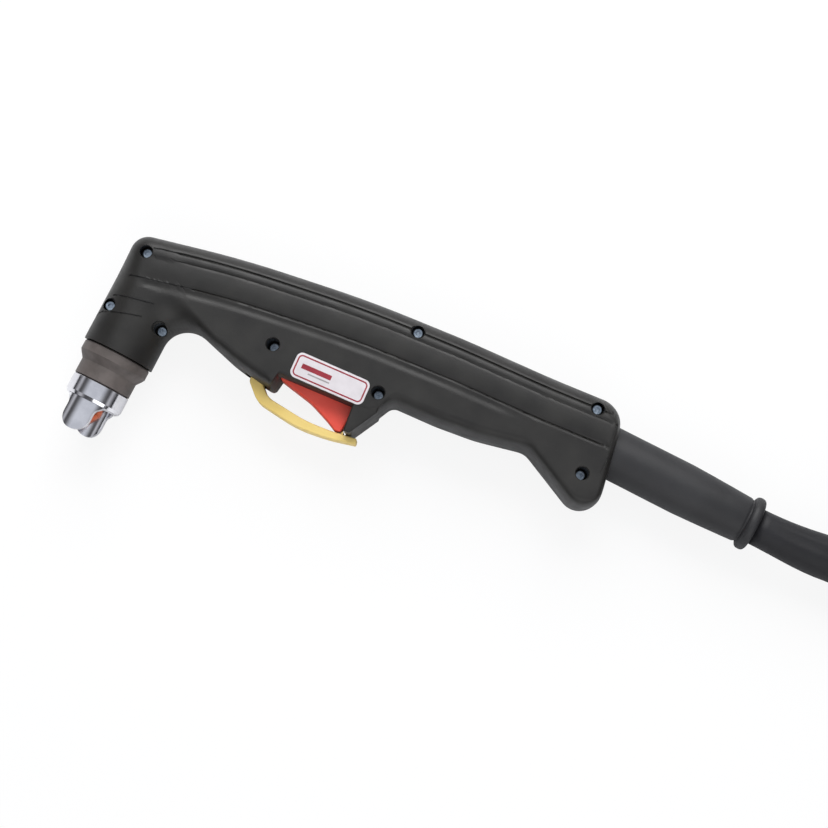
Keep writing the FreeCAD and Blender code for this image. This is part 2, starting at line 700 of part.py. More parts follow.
# -------------------------------------------------------------- boot and strain relief
def cable_boot():
    tip = BOOT_LENGTH - BEAD_WIDTH
    profile = [
        (JACKET_R, FLANGE_INNER), (FLANGE_R, FLANGE_INNER),
        (FLANGE_R, FLANGE_OUTER), (BOOT_ROOT_R, FLANGE_OUTER),
        (BOOT_ROOT_R, 20.0), (BOOT_ROOT_R + 0.1, 36.0), (BOOT_TIP_R + 0.5, tip - 12.0),
        (BOOT_TIP_R, tip - 1.6), (BOOT_TIP_R - 0.5, tip - 1.2), (BOOT_TIP_R - 0.5, tip - 0.4),
        (BEAD_R - 1.4, tip), (BEAD_R - 0.3, tip + 0.9), (BEAD_R, tip + 0.5 * BEAD_WIDTH),
        (BEAD_R - 0.3, BOOT_LENGTH - 0.9), (BEAD_R - 1.4, BOOT_LENGTH), (JACKET_R, BOOT_LENGTH),
    ]
    return on_boot(turned(profile))


def cable_jacket():
    return on_boot(ring(JACKET_R - JACKET_WALL, JACKET_R, JACKET_START, BOOT_LENGTH))


def jacket_clamp():
    band = ring(JACKET_R, CLAMP_R - SEAT, CLAMP_AT - 4.0, CLAMP_AT + 6.0)
    return on_boot(band)


# ------------------------------------------------------------------- cable and its end
def cable_points(offsets):
    return [Vector(EXIT.x + x, EXIT.y + y, z - HALF) for x, y, z in offsets]


COIL_CENTRE = Vector(EXIT.x + COIL_X, EXIT.y + COIL_Y, -HALF)


def coil_slab(radius, low, high):
    """Solid with two straight sides and two round ends, between two heights of the bench."""
    side = Vector(0, radius, 0)
    end = Vector(radius, 0, 0)
    run = Vector(COIL_RUN, 0, 0)
    first = COIL_CENTRE + Vector(0, 0, low)
    last = first + run
    wire = Part.Wire([
        Part.makeLine(first - side, last - side),
        Part.Arc(last - side, last + end, last + side).toShape(),
        Part.makeLine(last + side, first + side),
        Part.Arc(first + side, first - end, first - side).toShape(),
    ])
    return Part.Face(wire).extrude(Vector(0, 0, high - low))


def cable_coil():
    whole = coil_slab(COIL_OUTER_R, 0.0, COIL_HIGH)
    middle = coil_slab(COIL_INNER_R, -1.0, COIL_HIGH + 1.0)
    step = coil_slab(COIL_STEP_R, COIL_LOW, COIL_HIGH + 1.0)
    return whole.cut([middle, step])


def cable_run(offsets):
    """Plain tube along a route; its coil end lies pressed into the coil's solid."""
    points = cable_points(offsets)
    radii = corner_radii(points)
    tube = hose(points, CABLE_R)
    path = Part.Wire(bent_edges(points, radii, False))
    ideal = path.Length * math.pi * CABLE_R ** 2
    print("cable arcs", [round(r) for r in radii[1:-1]], "length", round(path.Length, 1),
          "volume ratio", round(tube.Volume / ideal, 4))
    return tube


PLUG_START = cable_points(TAIL)[-1]
PLUG_AXIS = unit(PLUG_START - cable_points(TAIL)[-2])
PLUG_PLACE = Placement(PLUG_START, Rotation(Vector(0, 0, 1), PLUG_AXIS))


def on_plug(shape):
    placed = shape.copy()
    placed.Placement = PLUG_PLACE.multiply(placed.Placement)
    return placed


def plug_boot():
    return on_plug(turned([
        (0.0, 0.0), (CABLE_R + 0.6, 0.0), (CABLE_R + 1.4, 4.0), (PLUG_R - 2.0, PLUG_BOOT_LENGTH - 3.0),
        (PLUG_R - 2.0, PLUG_BOOT_LENGTH), (0.0, PLUG_BOOT_LENGTH),
    ]))


PIN_CIRCLE = 9.4
PLUG_PINS = 4
CONTACT_R = 1.6
SPIGOT_R = 3.6


def plug_body():
    shoulder = PLUG_LENGTH - NUT_LENGTH + 11.6
    body = turned([
        (0.0, PLUG_BOOT_LENGTH), (PLUG_R - 1.0, PLUG_BOOT_LENGTH), (PLUG_R, PLUG_BOOT_LENGTH + 1.0),
        (PLUG_R, shoulder - 11.9), (PLUG_NECK_R, shoulder - 11.9), (PLUG_NECK_R, shoulder),
        (PLUG_NECK_R + 1.6, shoulder), (PLUG_NECK_R + 1.6, shoulder + 2.4),
        (PLUG_NECK_R - 1.0, shoulder + 2.4), (PLUG_NECK_R - 1.0, shoulder + 4.0),
        (0.0, shoulder + 4.0),
    ])
    for i in range(PLUG_PINS):
        turn = math.radians(45.0 + 90.0 * i)
        spot = Vector(PIN_CIRCLE * math.cos(turn), PIN_CIRCLE * math.sin(turn), shoulder - 6.0)
        body = body.cut(Part.makeCylinder(CONTACT_R, 20.0, spot))
    return on_plug(body.cut(Part.makeCylinder(SPIGOT_R, 20.0, Vector(0, 0, shoulder - 6.0))))


def plug_contacts():
    start = PLUG_LENGTH - NUT_LENGTH + 5.6
    solids = []
    for i in range(PLUG_PINS):
        turn = math.radians(45.0 + 90.0 * i)
        spot = Vector(PIN_CIRCLE * math.cos(turn), PIN_CIRCLE * math.sin(turn), start)
        pin = Part.makeCylinder(CONTACT_R, PLUG_LENGTH - 2.0 - start, spot)
        solids.append(on_plug(pin))
    return Part.makeCompound(solids)


def gas_spigot():
    start = PLUG_LENGTH - NUT_LENGTH + 5.6
    tip = PLUG_LENGTH - 0.5
    groove = tip - 4.0
    return on_plug(turned([
        (1.8, start), (SPIGOT_R, start), (SPIGOT_R, groove), (SPIGOT_R - 0.9, groove),
        (SPIGOT_R - 0.9, groove + 1.6), (SPIGOT_R, groove + 1.6), (SPIGOT_R, tip), (1.8, tip),
    ]))


def spigot_oring():
    height = PLUG_LENGTH - 0.5 - 3.2
    return on_plug(Part.makeTorus(SPIGOT_R - 0.1, 0.78, Vector(0, 0, height), Vector(0, 0, 1)))


def coupling_nut():
    low = PLUG_LENGTH - NUT_LENGTH
    shoulder = low + 11.6
    nut = turned([
        (PLUG_NECK_R + RUN_FIT, low), (PLUG_NUT_R - 1.0, low), (PLUG_NUT_R, low + 1.0),
        (PLUG_NUT_R, PLUG_LENGTH - 1.0), (PLUG_NUT_R - 1.0, PLUG_LENGTH),
        (PLUG_NECK_R + 2.0, PLUG_LENGTH), (PLUG_NECK_R + 2.0, shoulder - SEAT),
        (PLUG_NECK_R + RUN_FIT, shoulder - SEAT),
    ])
    for i in range(18):
        flute = Part.makeCylinder(1.1, NUT_LENGTH - 6.0, Vector(PLUG_NUT_R + 0.5, 0, low + 3.0))
        flute.rotate(Vector(0, 0, 0), Vector(0, 0, 1), 20.0 * i)
        nut = nut.cut(flute)
    return on_plug(nut)


# --------------------------------------------------------------------- the whole torch
near_half, far_half = handle_halves()
keep("handle_near_half", near_half)
keep("handle_far_half", far_half)
keep("handle_screws", handle_screws())
keep("label_plate", label_shape(HALF - LABEL_THICK, HALF - 0.05, 0.0))
keep("head_insulator", head_insulator())
keep("head_thread_ring", head_thread())
keep("cathode_body", cathode_body())
keep("head_oring", head_oring())
keep("electrode", electrode())
keep("electrode_emitter", emitter())
keep("swirl_ring", swirl_ring())
keep("nozzle_tip", nozzle())
keep("retaining_cap", retaining_cap())
keep("cap_thread_insert", cap_thread_insert())
keep("standoff_spacer", spacer())
keep("head_tube", head_tube())
keep("tube_nut", tube_nut())
keep("hose_barb", hose_barb())
keep("hose_ferrule", hose_ferrule())
keep("power_hose", power_hose())
keep("pilot_terminal", pilot_terminal())
keep("pilot_lead", pilot_lead())
keep("switch_leads", switch_leads())
keep("trigger", trigger())
keep("trigger_pin", pivot_pin(TRIGGER_PIVOT))
keep("safety_lever", safety_lever())
keep("lever_pin", pivot_pin(LEVER_PIVOT))
keep("trigger_spring", pin_spring(TRIGGER_PIVOT, TRIGGER_HALF))
keep("lever_spring", pin_spring(LEVER_PIVOT, LEVER_HALF))
keep("switch_body", switch_body())
keep("switch_plunger", switch_plunger())
keep("switch_terminals", switch_terminals())
keep("cable_boot", cable_boot())
keep("cable_jacket", cable_jacket())
keep("jacket_clamp", jacket_clamp())

torch = Part.makeCompound(list(parts.values())).optimalBoundingBox()
origin = Vector(round(torch.Center.x, 1), round(torch.Center.y, 1), -HALF)

keep("torch_cable", cable_run(LEAD))
keep("cable_tail", cable_run(TAIL))
keep("cable_coil", cable_coil())
keep("plug_boot", plug_boot())
keep("plug_body", plug_body())
keep("plug_contacts", plug_contacts())
keep("gas_spigot", gas_spigot())
keep("spigot_oring", spigot_oring())
keep("coupling_nut", coupling_nut())

os.makedirs("parts", exist_ok=True)
for name in sorted(parts):
    piece = parts[name].copy()
    piece.translate(Vector(0, 0, 0) - origin)
    piece.exportStep("parts/" + name + ".step")
    state = "" if piece.isValid() else "INVALID"
    print(name, len(piece.Solids), round(piece.Volume, 1), state)
print("torch box", torch, "origin", origin)
for label, place in (("head", HEAD_PLACE.Base), ("exit", EXIT), ("plug", PLUG_START)):
    print(label, place - origin)
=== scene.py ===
# %% [markdown]
# # A hand cutting torch, dressed around its construction frame
# The frame holds every piece at its real size and place, in metres. This notebook gives the
# torch its looks: moulded handle halves, rubber boot, soft cable, trigger, lever and chrome
# spacer. Nothing is fitted by eye afterwards, because every place comes from the frame.

# %% load the frame
import json
import math
import bmesh
import bpy
import numpy as np
from mathutils import Matrix, Vector


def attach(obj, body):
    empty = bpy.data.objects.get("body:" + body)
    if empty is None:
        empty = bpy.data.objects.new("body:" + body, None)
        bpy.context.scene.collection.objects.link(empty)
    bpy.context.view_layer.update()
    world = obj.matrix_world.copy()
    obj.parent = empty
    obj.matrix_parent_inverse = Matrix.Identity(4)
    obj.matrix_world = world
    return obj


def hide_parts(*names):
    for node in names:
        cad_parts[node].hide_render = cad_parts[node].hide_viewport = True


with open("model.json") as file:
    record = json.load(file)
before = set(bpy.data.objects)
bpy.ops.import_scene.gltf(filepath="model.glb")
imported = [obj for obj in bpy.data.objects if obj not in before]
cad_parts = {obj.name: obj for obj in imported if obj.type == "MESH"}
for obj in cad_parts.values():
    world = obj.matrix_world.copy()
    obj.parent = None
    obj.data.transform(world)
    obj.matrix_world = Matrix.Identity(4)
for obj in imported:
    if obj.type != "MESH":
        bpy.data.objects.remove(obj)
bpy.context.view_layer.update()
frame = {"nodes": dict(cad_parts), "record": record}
nodes = frame["nodes"]

# %% [markdown]
# ## Sizes that the pieces share
# The torch is easiest to describe in its handle frame: x runs back along the handle, y up to
# its back edge, and z = 0 is the plane where the two moulded halves meet. One function moves
# an array from that frame, in millimetres, to the scene, in metres.

# %% sizes and the handle frame
MM = 0.001
HALF = 18.0
HANDLE_ORIGIN = np.array([143.6, 22.8, -HALF])
REAR_X = 235.0
HEAD_CENTRE = np.array([-5.6, 11.2, 0.0])
HEAD_LEAN = math.radians(7.0)
HEAD_DOWN = np.array([-math.sin(HEAD_LEAN), -math.cos(HEAD_LEAN), 0.0])
HEAD_ACROSS = np.array([math.cos(HEAD_LEAN), -math.sin(HEAD_LEAN), 0.0])
HEAD_R = 17.9
BOOT_DROOP = math.radians(7.2)
BOOT_START = np.array([REAR_X, 47.3, 0.0])
BOOT_AXIS = np.array([math.cos(BOOT_DROOP), -math.sin(BOOT_DROOP), 0.0])
BOOT_LENGTH = 74.6
EXIT = BOOT_START + BOOT_AXIS * BOOT_LENGTH
UP = np.array([0.0, 0.0, 1.0])


def to_scene(points):
    """Handle frame in millimetres to scene metres: take the origin away, then scale."""
    return (np.asarray(points, float) - HANDLE_ORIGIN) * MM


print("boot end in the scene", to_scene(EXIT))

# %% [markdown]
# ## Two mesh makers
# Most moulded pieces are a grid of points worked out from two parameters, and most turned
# pieces are a profile carried round an axis. Both end in the same function, which joins the
# grid's neighbours into four-sided faces.


# %% mesh makers
SAME_POINT = 1e-7


def mesh_from_grid(name, grid, wrap_rows=False, wrap_columns=False, caps=False):
    """Faces between neighbours of a rows x columns x 3 grid in handle millimetres.
    wrap joins the last line to the first, and caps close the first and last row."""
    rows, columns = grid.shape[:2]
    index = np.arange(rows * columns).reshape(rows, columns)
    if wrap_rows:
        index = np.vstack([index, index[:1]])
    if wrap_columns:
        index = np.hstack([index, index[:, :1]])
    quads = np.stack([index[:-1, :-1], index[:-1, 1:], index[1:, 1:], index[1:, :-1]], axis=-1)
    faces = quads.reshape(-1, 4).tolist()
    if caps:
        faces.append(list(range(columns))[::-1])
        faces.append(list(range((rows - 1) * columns, rows * columns)))
    mesh = bpy.data.meshes.new(name)
    mesh.from_pydata(to_scene(grid.reshape(-1, 3)).tolist(), [], faces)
    mesh.validate()
    mesh.update()
    return mesh


def outward(mesh):
    """Joins points that meet and turns every face outwards."""
    work = bmesh.new()
    work.from_mesh(mesh)
    bmesh.ops.remove_doubles(work, verts=work.verts, dist=SAME_POINT)
    bmesh.ops.recalc_face_normals(work, faces=work.faces)
    work.to_mesh(mesh)
    work.free()
    return mesh


def placed(name, data):
    """New object at the origin, in the scene."""
    piece = bpy.data.objects.new(name, data)
    bpy.context.scene.collection.objects.link(piece)
    return piece


def piece_from_mesh(name, mesh, smooth=True):
    """One object at the origin. Its faces are turned outwards, and shaded smooth."""
    piece = placed(name, outward(mesh))
    if smooth:
        mesh.shade_smooth()
    return piece


def turned_grid(profile, base, axis, steps=72):
    """Profile of (radius, height) rows carried round an axis: base + axis * height + radius
    times a unit circle across the axis."""
    axis = np.asarray(axis, float) / np.linalg.norm(axis)
    side = np.cross(axis, UP if abs(axis[2]) < 0.9 else np.array([1.0, 0.0, 0.0]))
    side /= np.linalg.norm(side)
    other = np.cross(axis, side)
    turn = np.linspace(0.0, 2.0 * math.pi, steps, endpoint=False)
    circle = np.cos(turn)[:, None] * side + np.sin(turn)[:, None] * other
    profile = np.asarray(profile, float)
    return (np.asarray(base) + profile[:, 1, None, None] * axis
            + profile[:, 0, None, None] * circle[None])


def rounded_corners(corners, closed=False, step=7.0):
    """Points along straight runs joined by arcs. Each corner is x, y and its radius, and an
    arc has a point for about every step degrees of its turn."""
    count = len(corners)
    points = []
    for i, (x, y, radius) in enumerate(corners):
        here = np.array([x, y], float)
        if radius <= 0.0 or (not closed and i in (0, count - 1)):
            points.append(here)
            continue
        back = np.array(corners[i - 1][:2], float) - here
        on = np.array(corners[(i + 1) % count][:2], float) - here
        back /= np.linalg.norm(back)
        on /= np.linalg.norm(on)
        half = math.acos(np.clip(back @ on, -1.0, 1.0)) / 2.0
        middle = (back + on) / np.linalg.norm(back + on)
        centre = here + middle * radius / math.sin(half)
        sweep = math.pi - 2.0 * half
        number = max(6, int(math.degrees(sweep) / step) + 1)
        start = here + back * radius / math.tan(half) - centre
        sign = np.sign(start[0] * (on - back)[1] - start[1] * (on - back)[0])
        for turn in np.linspace(0.0, sign * sweep, number):
            c, s = math.cos(turn), math.sin(turn)
            points.append(centre + [c * start[0] - s * start[1], s * start[0] + c * start[1]])
    return np.array(points)


def resample(points, count=None, at=None):
    """Points at equal steps, or at given fractions, of a polyline's length."""
    lengths = np.r_[0.0, np.cumsum(np.linalg.norm(np.diff(points, axis=0), axis=1))]
    where = np.linspace(0.0, 1.0, count) if at is None else np.asarray(at)
    where = where * lengths[-1]
    return np.stack([np.interp(where, lengths, points[:, k]) for k in range(points.shape[1])], -1)


def ease(value, low, high):
    """Smooth step from 0 at low to 1 at high."""
    x = np.clip((np.asarray(value, float) - low) / (high - low), 0.0, 1.0)
    return x * x * (3.0 - 2.0 * x)


# %% [markdown]
# ## Camera
# The torch lies on a table and is seen from almost straight above. The lens is long, so that
# its near and far edges keep nearly the same scale.

# %% camera
CAMERA_DISTANCE = 0.88
FRAME_WIDTH = 0.3974
LOOK_AT = (138.2, 32.9, 0.0)
target = Vector(to_scene(LOOK_AT))
roll, tilt = math.radians(20.0), math.radians(7.0)
image_right = Vector((math.cos(roll), math.sin(roll), 0.0))
image_down = Vector((math.sin(roll), -math.cos(roll), 0.0))
sight = Vector((0.0, 0.0, 1.0)) * math.cos(tilt) + image_down * math.sin(tilt)
camera_data = bpy.data.cameras.new("camera")
camera_data.lens = camera_data.sensor_width * CAMERA_DISTANCE / FRAME_WIDTH
camera = placed("camera", camera_data)
camera_up = sight.cross(image_right)
turn = Matrix((image_right, camera_up, sight)).transposed()
camera.matrix_world = Matrix.Translation(target + sight * CAMERA_DISTANCE) @ turn.to_4x4()
bpy.context.scene.camera = camera
bpy.context.scene.view_settings.view_transform = "Standard"
print("lens", round(camera_data.lens, 1))

# %% [markdown]
# ## Floor and light
# A product picture is taken on a white table. The floor is a large pale sheet that looks
# whiter to the camera than it is to the light, so it stays clean and still takes a shadow.
# The lights are two broad soft panels, so that black plastic shows its edges without hot
# spots. The sky is dark low down, then bright, dark, and bright overhead, because chrome
# looks like chrome only when it has bands to mirror.


# %% floor and lights
def colour(red, green, blue):
    """Colour as seen on a screen, 0 to 255, as the linear values that shaders use."""
    share = np.array([red, green, blue]) / 255.0
    linear = np.where(share <= 0.04045, share / 12.92, ((share + 0.055) / 1.055) ** 2.4)
    return (*linear.tolist(), 1.0)


def area_light(name, size, energy, place, aim):
    """Square lamp that looks from its place at a point of the torch."""
    data = bpy.data.lights.new(name, "AREA")
    data.shape, data.size, data.energy = "SQUARE", size, energy
    lamp = placed(name, data)
    lamp.location = place
    lamp.rotation_euler = (Vector(aim) - Vector(place)).to_track_quat("-Z", "Y").to_euler()


FLOOR_REACH, FLOOR_DROP = 40.0, 0.0005
FLOOR_TONE = 0.86
floor_mesh = bpy.data.meshes.new("floor")
floor_mesh.from_pydata([(x * FLOOR_REACH, y * FLOOR_REACH, -FLOOR_DROP)
                        for x, y in ((-1, -1), (1, -1), (1, 1), (-1, 1))], [], [(0, 1, 2, 3)])
floor = placed("floor", floor_mesh)
floor_paint = bpy.data.materials.new("pale_floor")
floor_paint.use_nodes = True
tree = floor_paint.node_tree
shader = tree.nodes["Principled BSDF"]
shader.inputs["Base Color"].default_value = (FLOOR_TONE, FLOOR_TONE, FLOOR_TONE, 1.0)
shader.inputs["Roughness"].default_value = 0.9
white = tree.nodes.new("ShaderNodeEmission")
white.inputs["Strength"].default_value = 1.0
ray = tree.nodes.new("ShaderNodeLightPath")
whiteness = tree.nodes.new("ShaderNodeMath")
whiteness.operation = "MULTIPLY"
whiteness.inputs[1].default_value = FLOOR_TONE
blend = tree.nodes.new("ShaderNodeMixShader")
tree.links.new(ray.outputs["Is Camera Ray"], whiteness.inputs[0])
tree.links.new(whiteness.outputs[0], blend.inputs[0])
tree.links.new(shader.outputs[0], blend.inputs[1])
tree.links.new(white.outputs[0], blend.inputs[2])
tree.links.new(blend.outputs[0], tree.nodes["Material Output"].inputs[0])
floor_mesh.materials.append(floor_paint)

# Bands of the sky between its lowest and highest stop: how far up, and how bright.
SKY_BANDS = ((0.4, 0.8), (0.56, 0.08), (0.7, 0.2))
world = bpy.data.worlds.new("studio")
world.use_nodes = True
tree = world.node_tree
background = tree.nodes["Background"]
background.inputs[1].default_value = 0.75
sky = tree.nodes.new("ShaderNodeTexCoord")
parts = tree.nodes.new("ShaderNodeSeparateXYZ")
ramp = tree.nodes.new("ShaderNodeValToRGB")
bottom, top = ramp.color_ramp.elements
bottom.position, bottom.color = 0.12, (0.05, 0.05, 0.055, 1.0)
top.position, top.color = 0.9, (0.9, 0.93, 1.0, 1.0)
for place, level in SKY_BANDS:
    stop = ramp.color_ramp.elements.new(place)
    stop.color = (level, level, level * 1.05, 1.0)
ray = tree.nodes.new("ShaderNodeLightPath")
backdrop = tree.nodes.new("ShaderNodeMixRGB")
backdrop.inputs["Color2"].default_value = (1.3, 1.3, 1.3, 1.0)
tree.links.new(sky.outputs["Generated"], parts.inputs[0])
tree.links.new(parts.outputs["Z"], ramp.inputs[0])
tree.links.new(ray.outputs["Is Camera Ray"], backdrop.inputs["Fac"])
tree.links.new(ramp.outputs[0], backdrop.inputs["Color1"])
tree.links.new(backdrop.outputs[0], background.inputs[0])
bpy.context.scene.world = world
centre = to_scene([110.0, 40.0, 0.0])
area_light("key", 1.2, 27.0, (-0.3, 1.1, 1.0), centre)
area_light("fill", 1.4, 10.0, (0.5, -1.1, 1.0), centre)
print("floor reach", FLOOR_REACH, "m, sky stops", len(ramp.color_ramp.elements))


# %% [markdown]
# ## Materials
# Every finish is worked out from Object coordinates, so it stays on its piece. The moulded
# black has a fine spark-eroded grain and slight greyish rubbing, the rubber is duller, and
# the metals wander a little in tone, and the chrome also in polish.

# %% material helpers
FINISHES = {}


def finish(name, base, roughness, **sockets):
    """New material with a Principled shader and constant values on its own sockets."""
    material = bpy.data.materials.new(name + "_finish")
    FINISHES[name] = material
    material.use_nodes = True
    bsdf = material.node_tree.nodes["Principled BSDF"]
    bsdf.inputs["Base Color"].default_value = base
    bsdf.inputs["Roughness"].default_value = roughness
    for socket, value in sockets.items():
        bsdf.inputs[socket.replace("_", " ")].default_value = value
    return material


def noise_in(tree, scale, detail):
    """Noise in Object coordinates: scale counts waves per metre."""
    spot = tree.nodes.new("ShaderNodeTexCoord")
    noise = tree.nodes.new("ShaderNodeTexNoise")
    noise.inputs["Scale"].default_value = scale
    noise.inputs["Detail"].default_value = detail
    tree.links.new(spot.outputs["Object"], noise.inputs["Vector"])
    return noise.outputs[0]


def grain(material, scale, depth):
    """Bump from fine noise, depth in metres."""
    tree = material.node_tree
    bump = tree.nodes.new("ShaderNodeBump")
    bump.inputs["Strength"].default_value = 1.0
    bump.inputs["Distance"].default_value = depth
    tree.links.new(noise_in(tree, scale, 3.0), bump.inputs["Height"])
    tree.links.new(bump.outputs[0], tree.nodes["Principled BSDF"].inputs["Normal"])


def mottle(material, scale, dark, light, low=0.35, high=0.65):
    """Colour that wanders between two tones by noise."""
    tree = material.node_tree
    ramp = tree.nodes.new("ShaderNodeValToRGB")
    ramp.color_ramp.elements[0].position = low
    ramp.color_ramp.elements[1].position = high
    ramp.color_ramp.elements[0].color = dark
    ramp.color_ramp.elements[1].color = light
    tree.links.new(noise_in(tree, scale, 4.0), ramp.inputs[0])
    tree.links.new(ramp.outputs[0], tree.nodes["Principled BSDF"].inputs["Base Color"])


def rubbed(material, scale, low, high):
    """Roughness that wanders between two values, as handled plastic does."""
    tree = material.node_tree
    span = tree.nodes.new("ShaderNodeMapRange")
    span.inputs["From Min"].default_value = 0.3
    span.inputs["From Max"].default_value = 0.7
    span.inputs["To Min"].default_value = low
    span.inputs["To Max"].default_value = high
    tree.links.new(noise_in(tree, scale, 5.0), span.inputs[0])
    tree.links.new(span.outputs[0], tree.nodes["Principled BSDF"].inputs["Roughness"])


# %% [markdown]
# ## The finishes
# Colours are written as they look on a screen. Plastics differ mostly in how dull they are,
# and metals in their tone and polish. Each wanders a little round its own colour, because a
# perfectly even surface looks like paint.

# %% the finishes
moulded_black = finish("moulded_black", colour(32, 31, 30), 0.42, Specular_IOR_Level=0.34)
mottle(moulded_black, 60.0, colour(25, 24, 23), colour(38, 37, 35), 0.3, 0.7)
rubbed(moulded_black, 90.0, 0.36, 0.52)
grain(moulded_black, 2600.0, 0.00004)
insulator_brown = finish("insulator_brown", colour(94, 86, 82), 0.55, Specular_IOR_Level=0.35)
mottle(insulator_brown, 120.0, colour(80, 74, 71), colour(98, 91, 88))
grain(insulator_brown, 1800.0, 0.00005)
boot_rubber = finish("boot_rubber", colour(36, 36, 38), 0.55, Specular_IOR_Level=0.4)
mottle(boot_rubber, 40.0, colour(32, 32, 34), colour(41, 41, 43))
grain(boot_rubber, 1500.0, 0.00005)
cable_cover = finish("cable_cover", colour(28, 28, 31), 0.55, Specular_IOR_Level=0.3)
mottle(cable_cover, 30.0, colour(24, 24, 27), colour(33, 33, 36))
grain(cable_cover, 900.0, 0.00008)
trigger_red = finish("trigger_red", colour(238, 84, 68), 0.4, Specular_IOR_Level=0.35)
mottle(trigger_red, 50.0, colour(232, 77, 62), colour(244, 92, 76))
grain(trigger_red, 1500.0, 0.00003)
lever_yellow = finish("lever_yellow", colour(236, 208, 126), 0.45, Specular_IOR_Level=0.3)
mottle(lever_yellow, 50.0, colour(231, 202, 118), colour(241, 214, 134))
grain(lever_yellow, 1500.0, 0.00003)
label_white = finish("label_white", colour(206, 201, 204), 0.32)
mottle(label_white, 200.0, colour(202, 197, 200), colour(211, 206, 209))
label_red = finish("label_red", colour(138, 28, 44), 0.35)
mottle(label_red, 200.0, colour(132, 24, 40), colour(146, 34, 50))
label_grey = finish("label_grey", colour(150, 146, 146), 0.35)
mottle(label_grey, 200.0, colour(142, 138, 138), colour(158, 154, 154))
steel_screw = finish("steel_screw", colour(136, 148, 160), 0.32, Metallic=1.0)
mottle(steel_screw, 900.0, colour(116, 128, 140), colour(166, 178, 190))
chrome = finish("chrome", colour(222, 222, 226), 0.1, Metallic=1.0)
mottle(chrome, 150.0, colour(214, 214, 219), colour(230, 230, 234))
rubbed(chrome, 120.0, 0.09, 0.17)
brass = finish("brass", colour(205, 172, 98), 0.28, Metallic=1.0)
mottle(brass, 300.0, colour(193, 160, 88), colour(214, 182, 108))
copper = finish("copper", colour(186, 96, 66), 0.32, Metallic=1.0)
mottle(copper, 300.0, colour(170, 84, 56), colour(202, 110, 78))
hafnium = finish("hafnium", colour(150, 150, 150), 0.4, Metallic=1.0)
mottle(hafnium, 900.0, colour(140, 140, 140), colour(160, 160, 160))
oring_black = finish("oring_black", colour(34, 34, 35), 0.45)
mottle(oring_black, 200.0, colour(30, 30, 31), colour(38, 38, 40))
switch_grey = finish("switch_grey", colour(60, 60, 64), 0.45)
mottle(switch_grey, 200.0, colour(55, 55, 59), colour(66, 66, 70))
hose_black = finish("hose_black", colour(36, 36, 37), 0.5)
mottle(hose_black, 120.0, colour(32, 32, 33), colour(41, 41, 43))
wire_red = finish("wire_red", colour(160, 36, 30), 0.4)
mottle(wire_red, 200.0, colour(152, 32, 26), colour(168, 42, 36))
print("finishes", len(FINISHES))

# %% [markdown]
# ## Paint on the pieces that the frame brings
# Inner parts, screws, cap and spacer keep the frame's own shapes, and only take a finish. The
# record names one finish for each of them.


# %% dress the frame's own nodes
def paint(piece, material):
    """The piece wears this material and no other."""
    piece.data.materials.clear()
    piece.data.materials.append(material)


slot_of = {part["node"]: part["material_slot"] for part in frame["record"]["subparts"]}
for node_name, node in nodes.items():
    paint(node, FINISHES[slot_of[node_name]])
print("painted nodes", len(nodes))

# %% [markdown]
# ## The cable
# A soft cover holds the gas and power hose and the small leads. It leaves the boot thin and
# fills out to 22 mm, falls to the table and goes into a long coil of eight turns. Its end
# turns inwards on top of the coil and goes into the machine connector. The route is one
# smooth spline.

# %% cable route
LEAD = [
    (0.0, 0.0, 18.0),
    (21.6, -2.729, 18.0),
    (60.1, -2.5, 15.0),
    (130.0, -61.15, 11.05),
]
TAIL = [
    (152.0, -39.15, 55.0),
    (178.0, -39.15, 55.2),
    (236.0, 22.85, 61.6),
    (262.0, 22.85, 62.7),
    (277.0, 22.85, 63.3),
]
COIL_START = np.array([160.6, 22.85])
COIL_RUN = 140.0
LANES = (84.0, 62.0, 40.0)
LAYERS = (11.05, 33.0, 55.0)
# Each turn of the long coil: the lane and layer it starts in, and those it ends in.
TURNS = [(0, 0, 1, 0), (1, 0, 2, 0), (2, 0, 2, 1), (2, 1, 1, 1), (1, 1, 0, 1), (0, 1, 0, 2),
         (0, 2, 1, 2), (1, 2, 1, 2)]
ARC_POINTS = 6


def one_turn(lane_in, layer_in, lane_out, layer_out):
    """Control points of one turn: along the low side, round the far end, back along the high
    side, where it changes lane or layer, and round the near end. An end's points lie outside
    its arc by one over the cosine of half their step."""
    step = math.pi / ARC_POINTS
    reach = 1.0 / math.cos(step / 2.0)
    across = (np.arange(ARC_POINTS) + 0.5) * step
    in_r, out_r = LANES[lane_in], LANES[lane_out]
    in_z, out_z = LAYERS[layer_in], LAYERS[layer_out]
    x0, y0 = COIL_START
    x1 = x0 + COIL_RUN
    low = [(x0 + COIL_RUN * share, y0 - in_r, in_z) for share in (0.2, 0.5, 0.8)]
    far = [(x1 + in_r * reach * math.sin(a), y0 - in_r * reach * math.cos(a), in_z)
           for a in across]
    high = [(x1 - COIL_RUN * share, y0 + r, z) for share, r, z in
            ((0.06, in_r, in_z), (0.24, in_r, in_z), (0.76, out_r, out_z), (0.94, out_r, out_z))]
    near = [(x0 - out_r * reach * math.sin(a), y0 + out_r * reach * math.cos(a), out_z)
            for a in across]
    return low + far + high + near


coil_points = [point for turn in TURNS for point in one_turn(*turn)]
route = np.array(LEAD + coil_points + TAIL)
route[:, 0] += EXIT[0]
route[:, 1] += EXIT[1]
route[:, 2] -= HALF
route_m = to_scene(route)


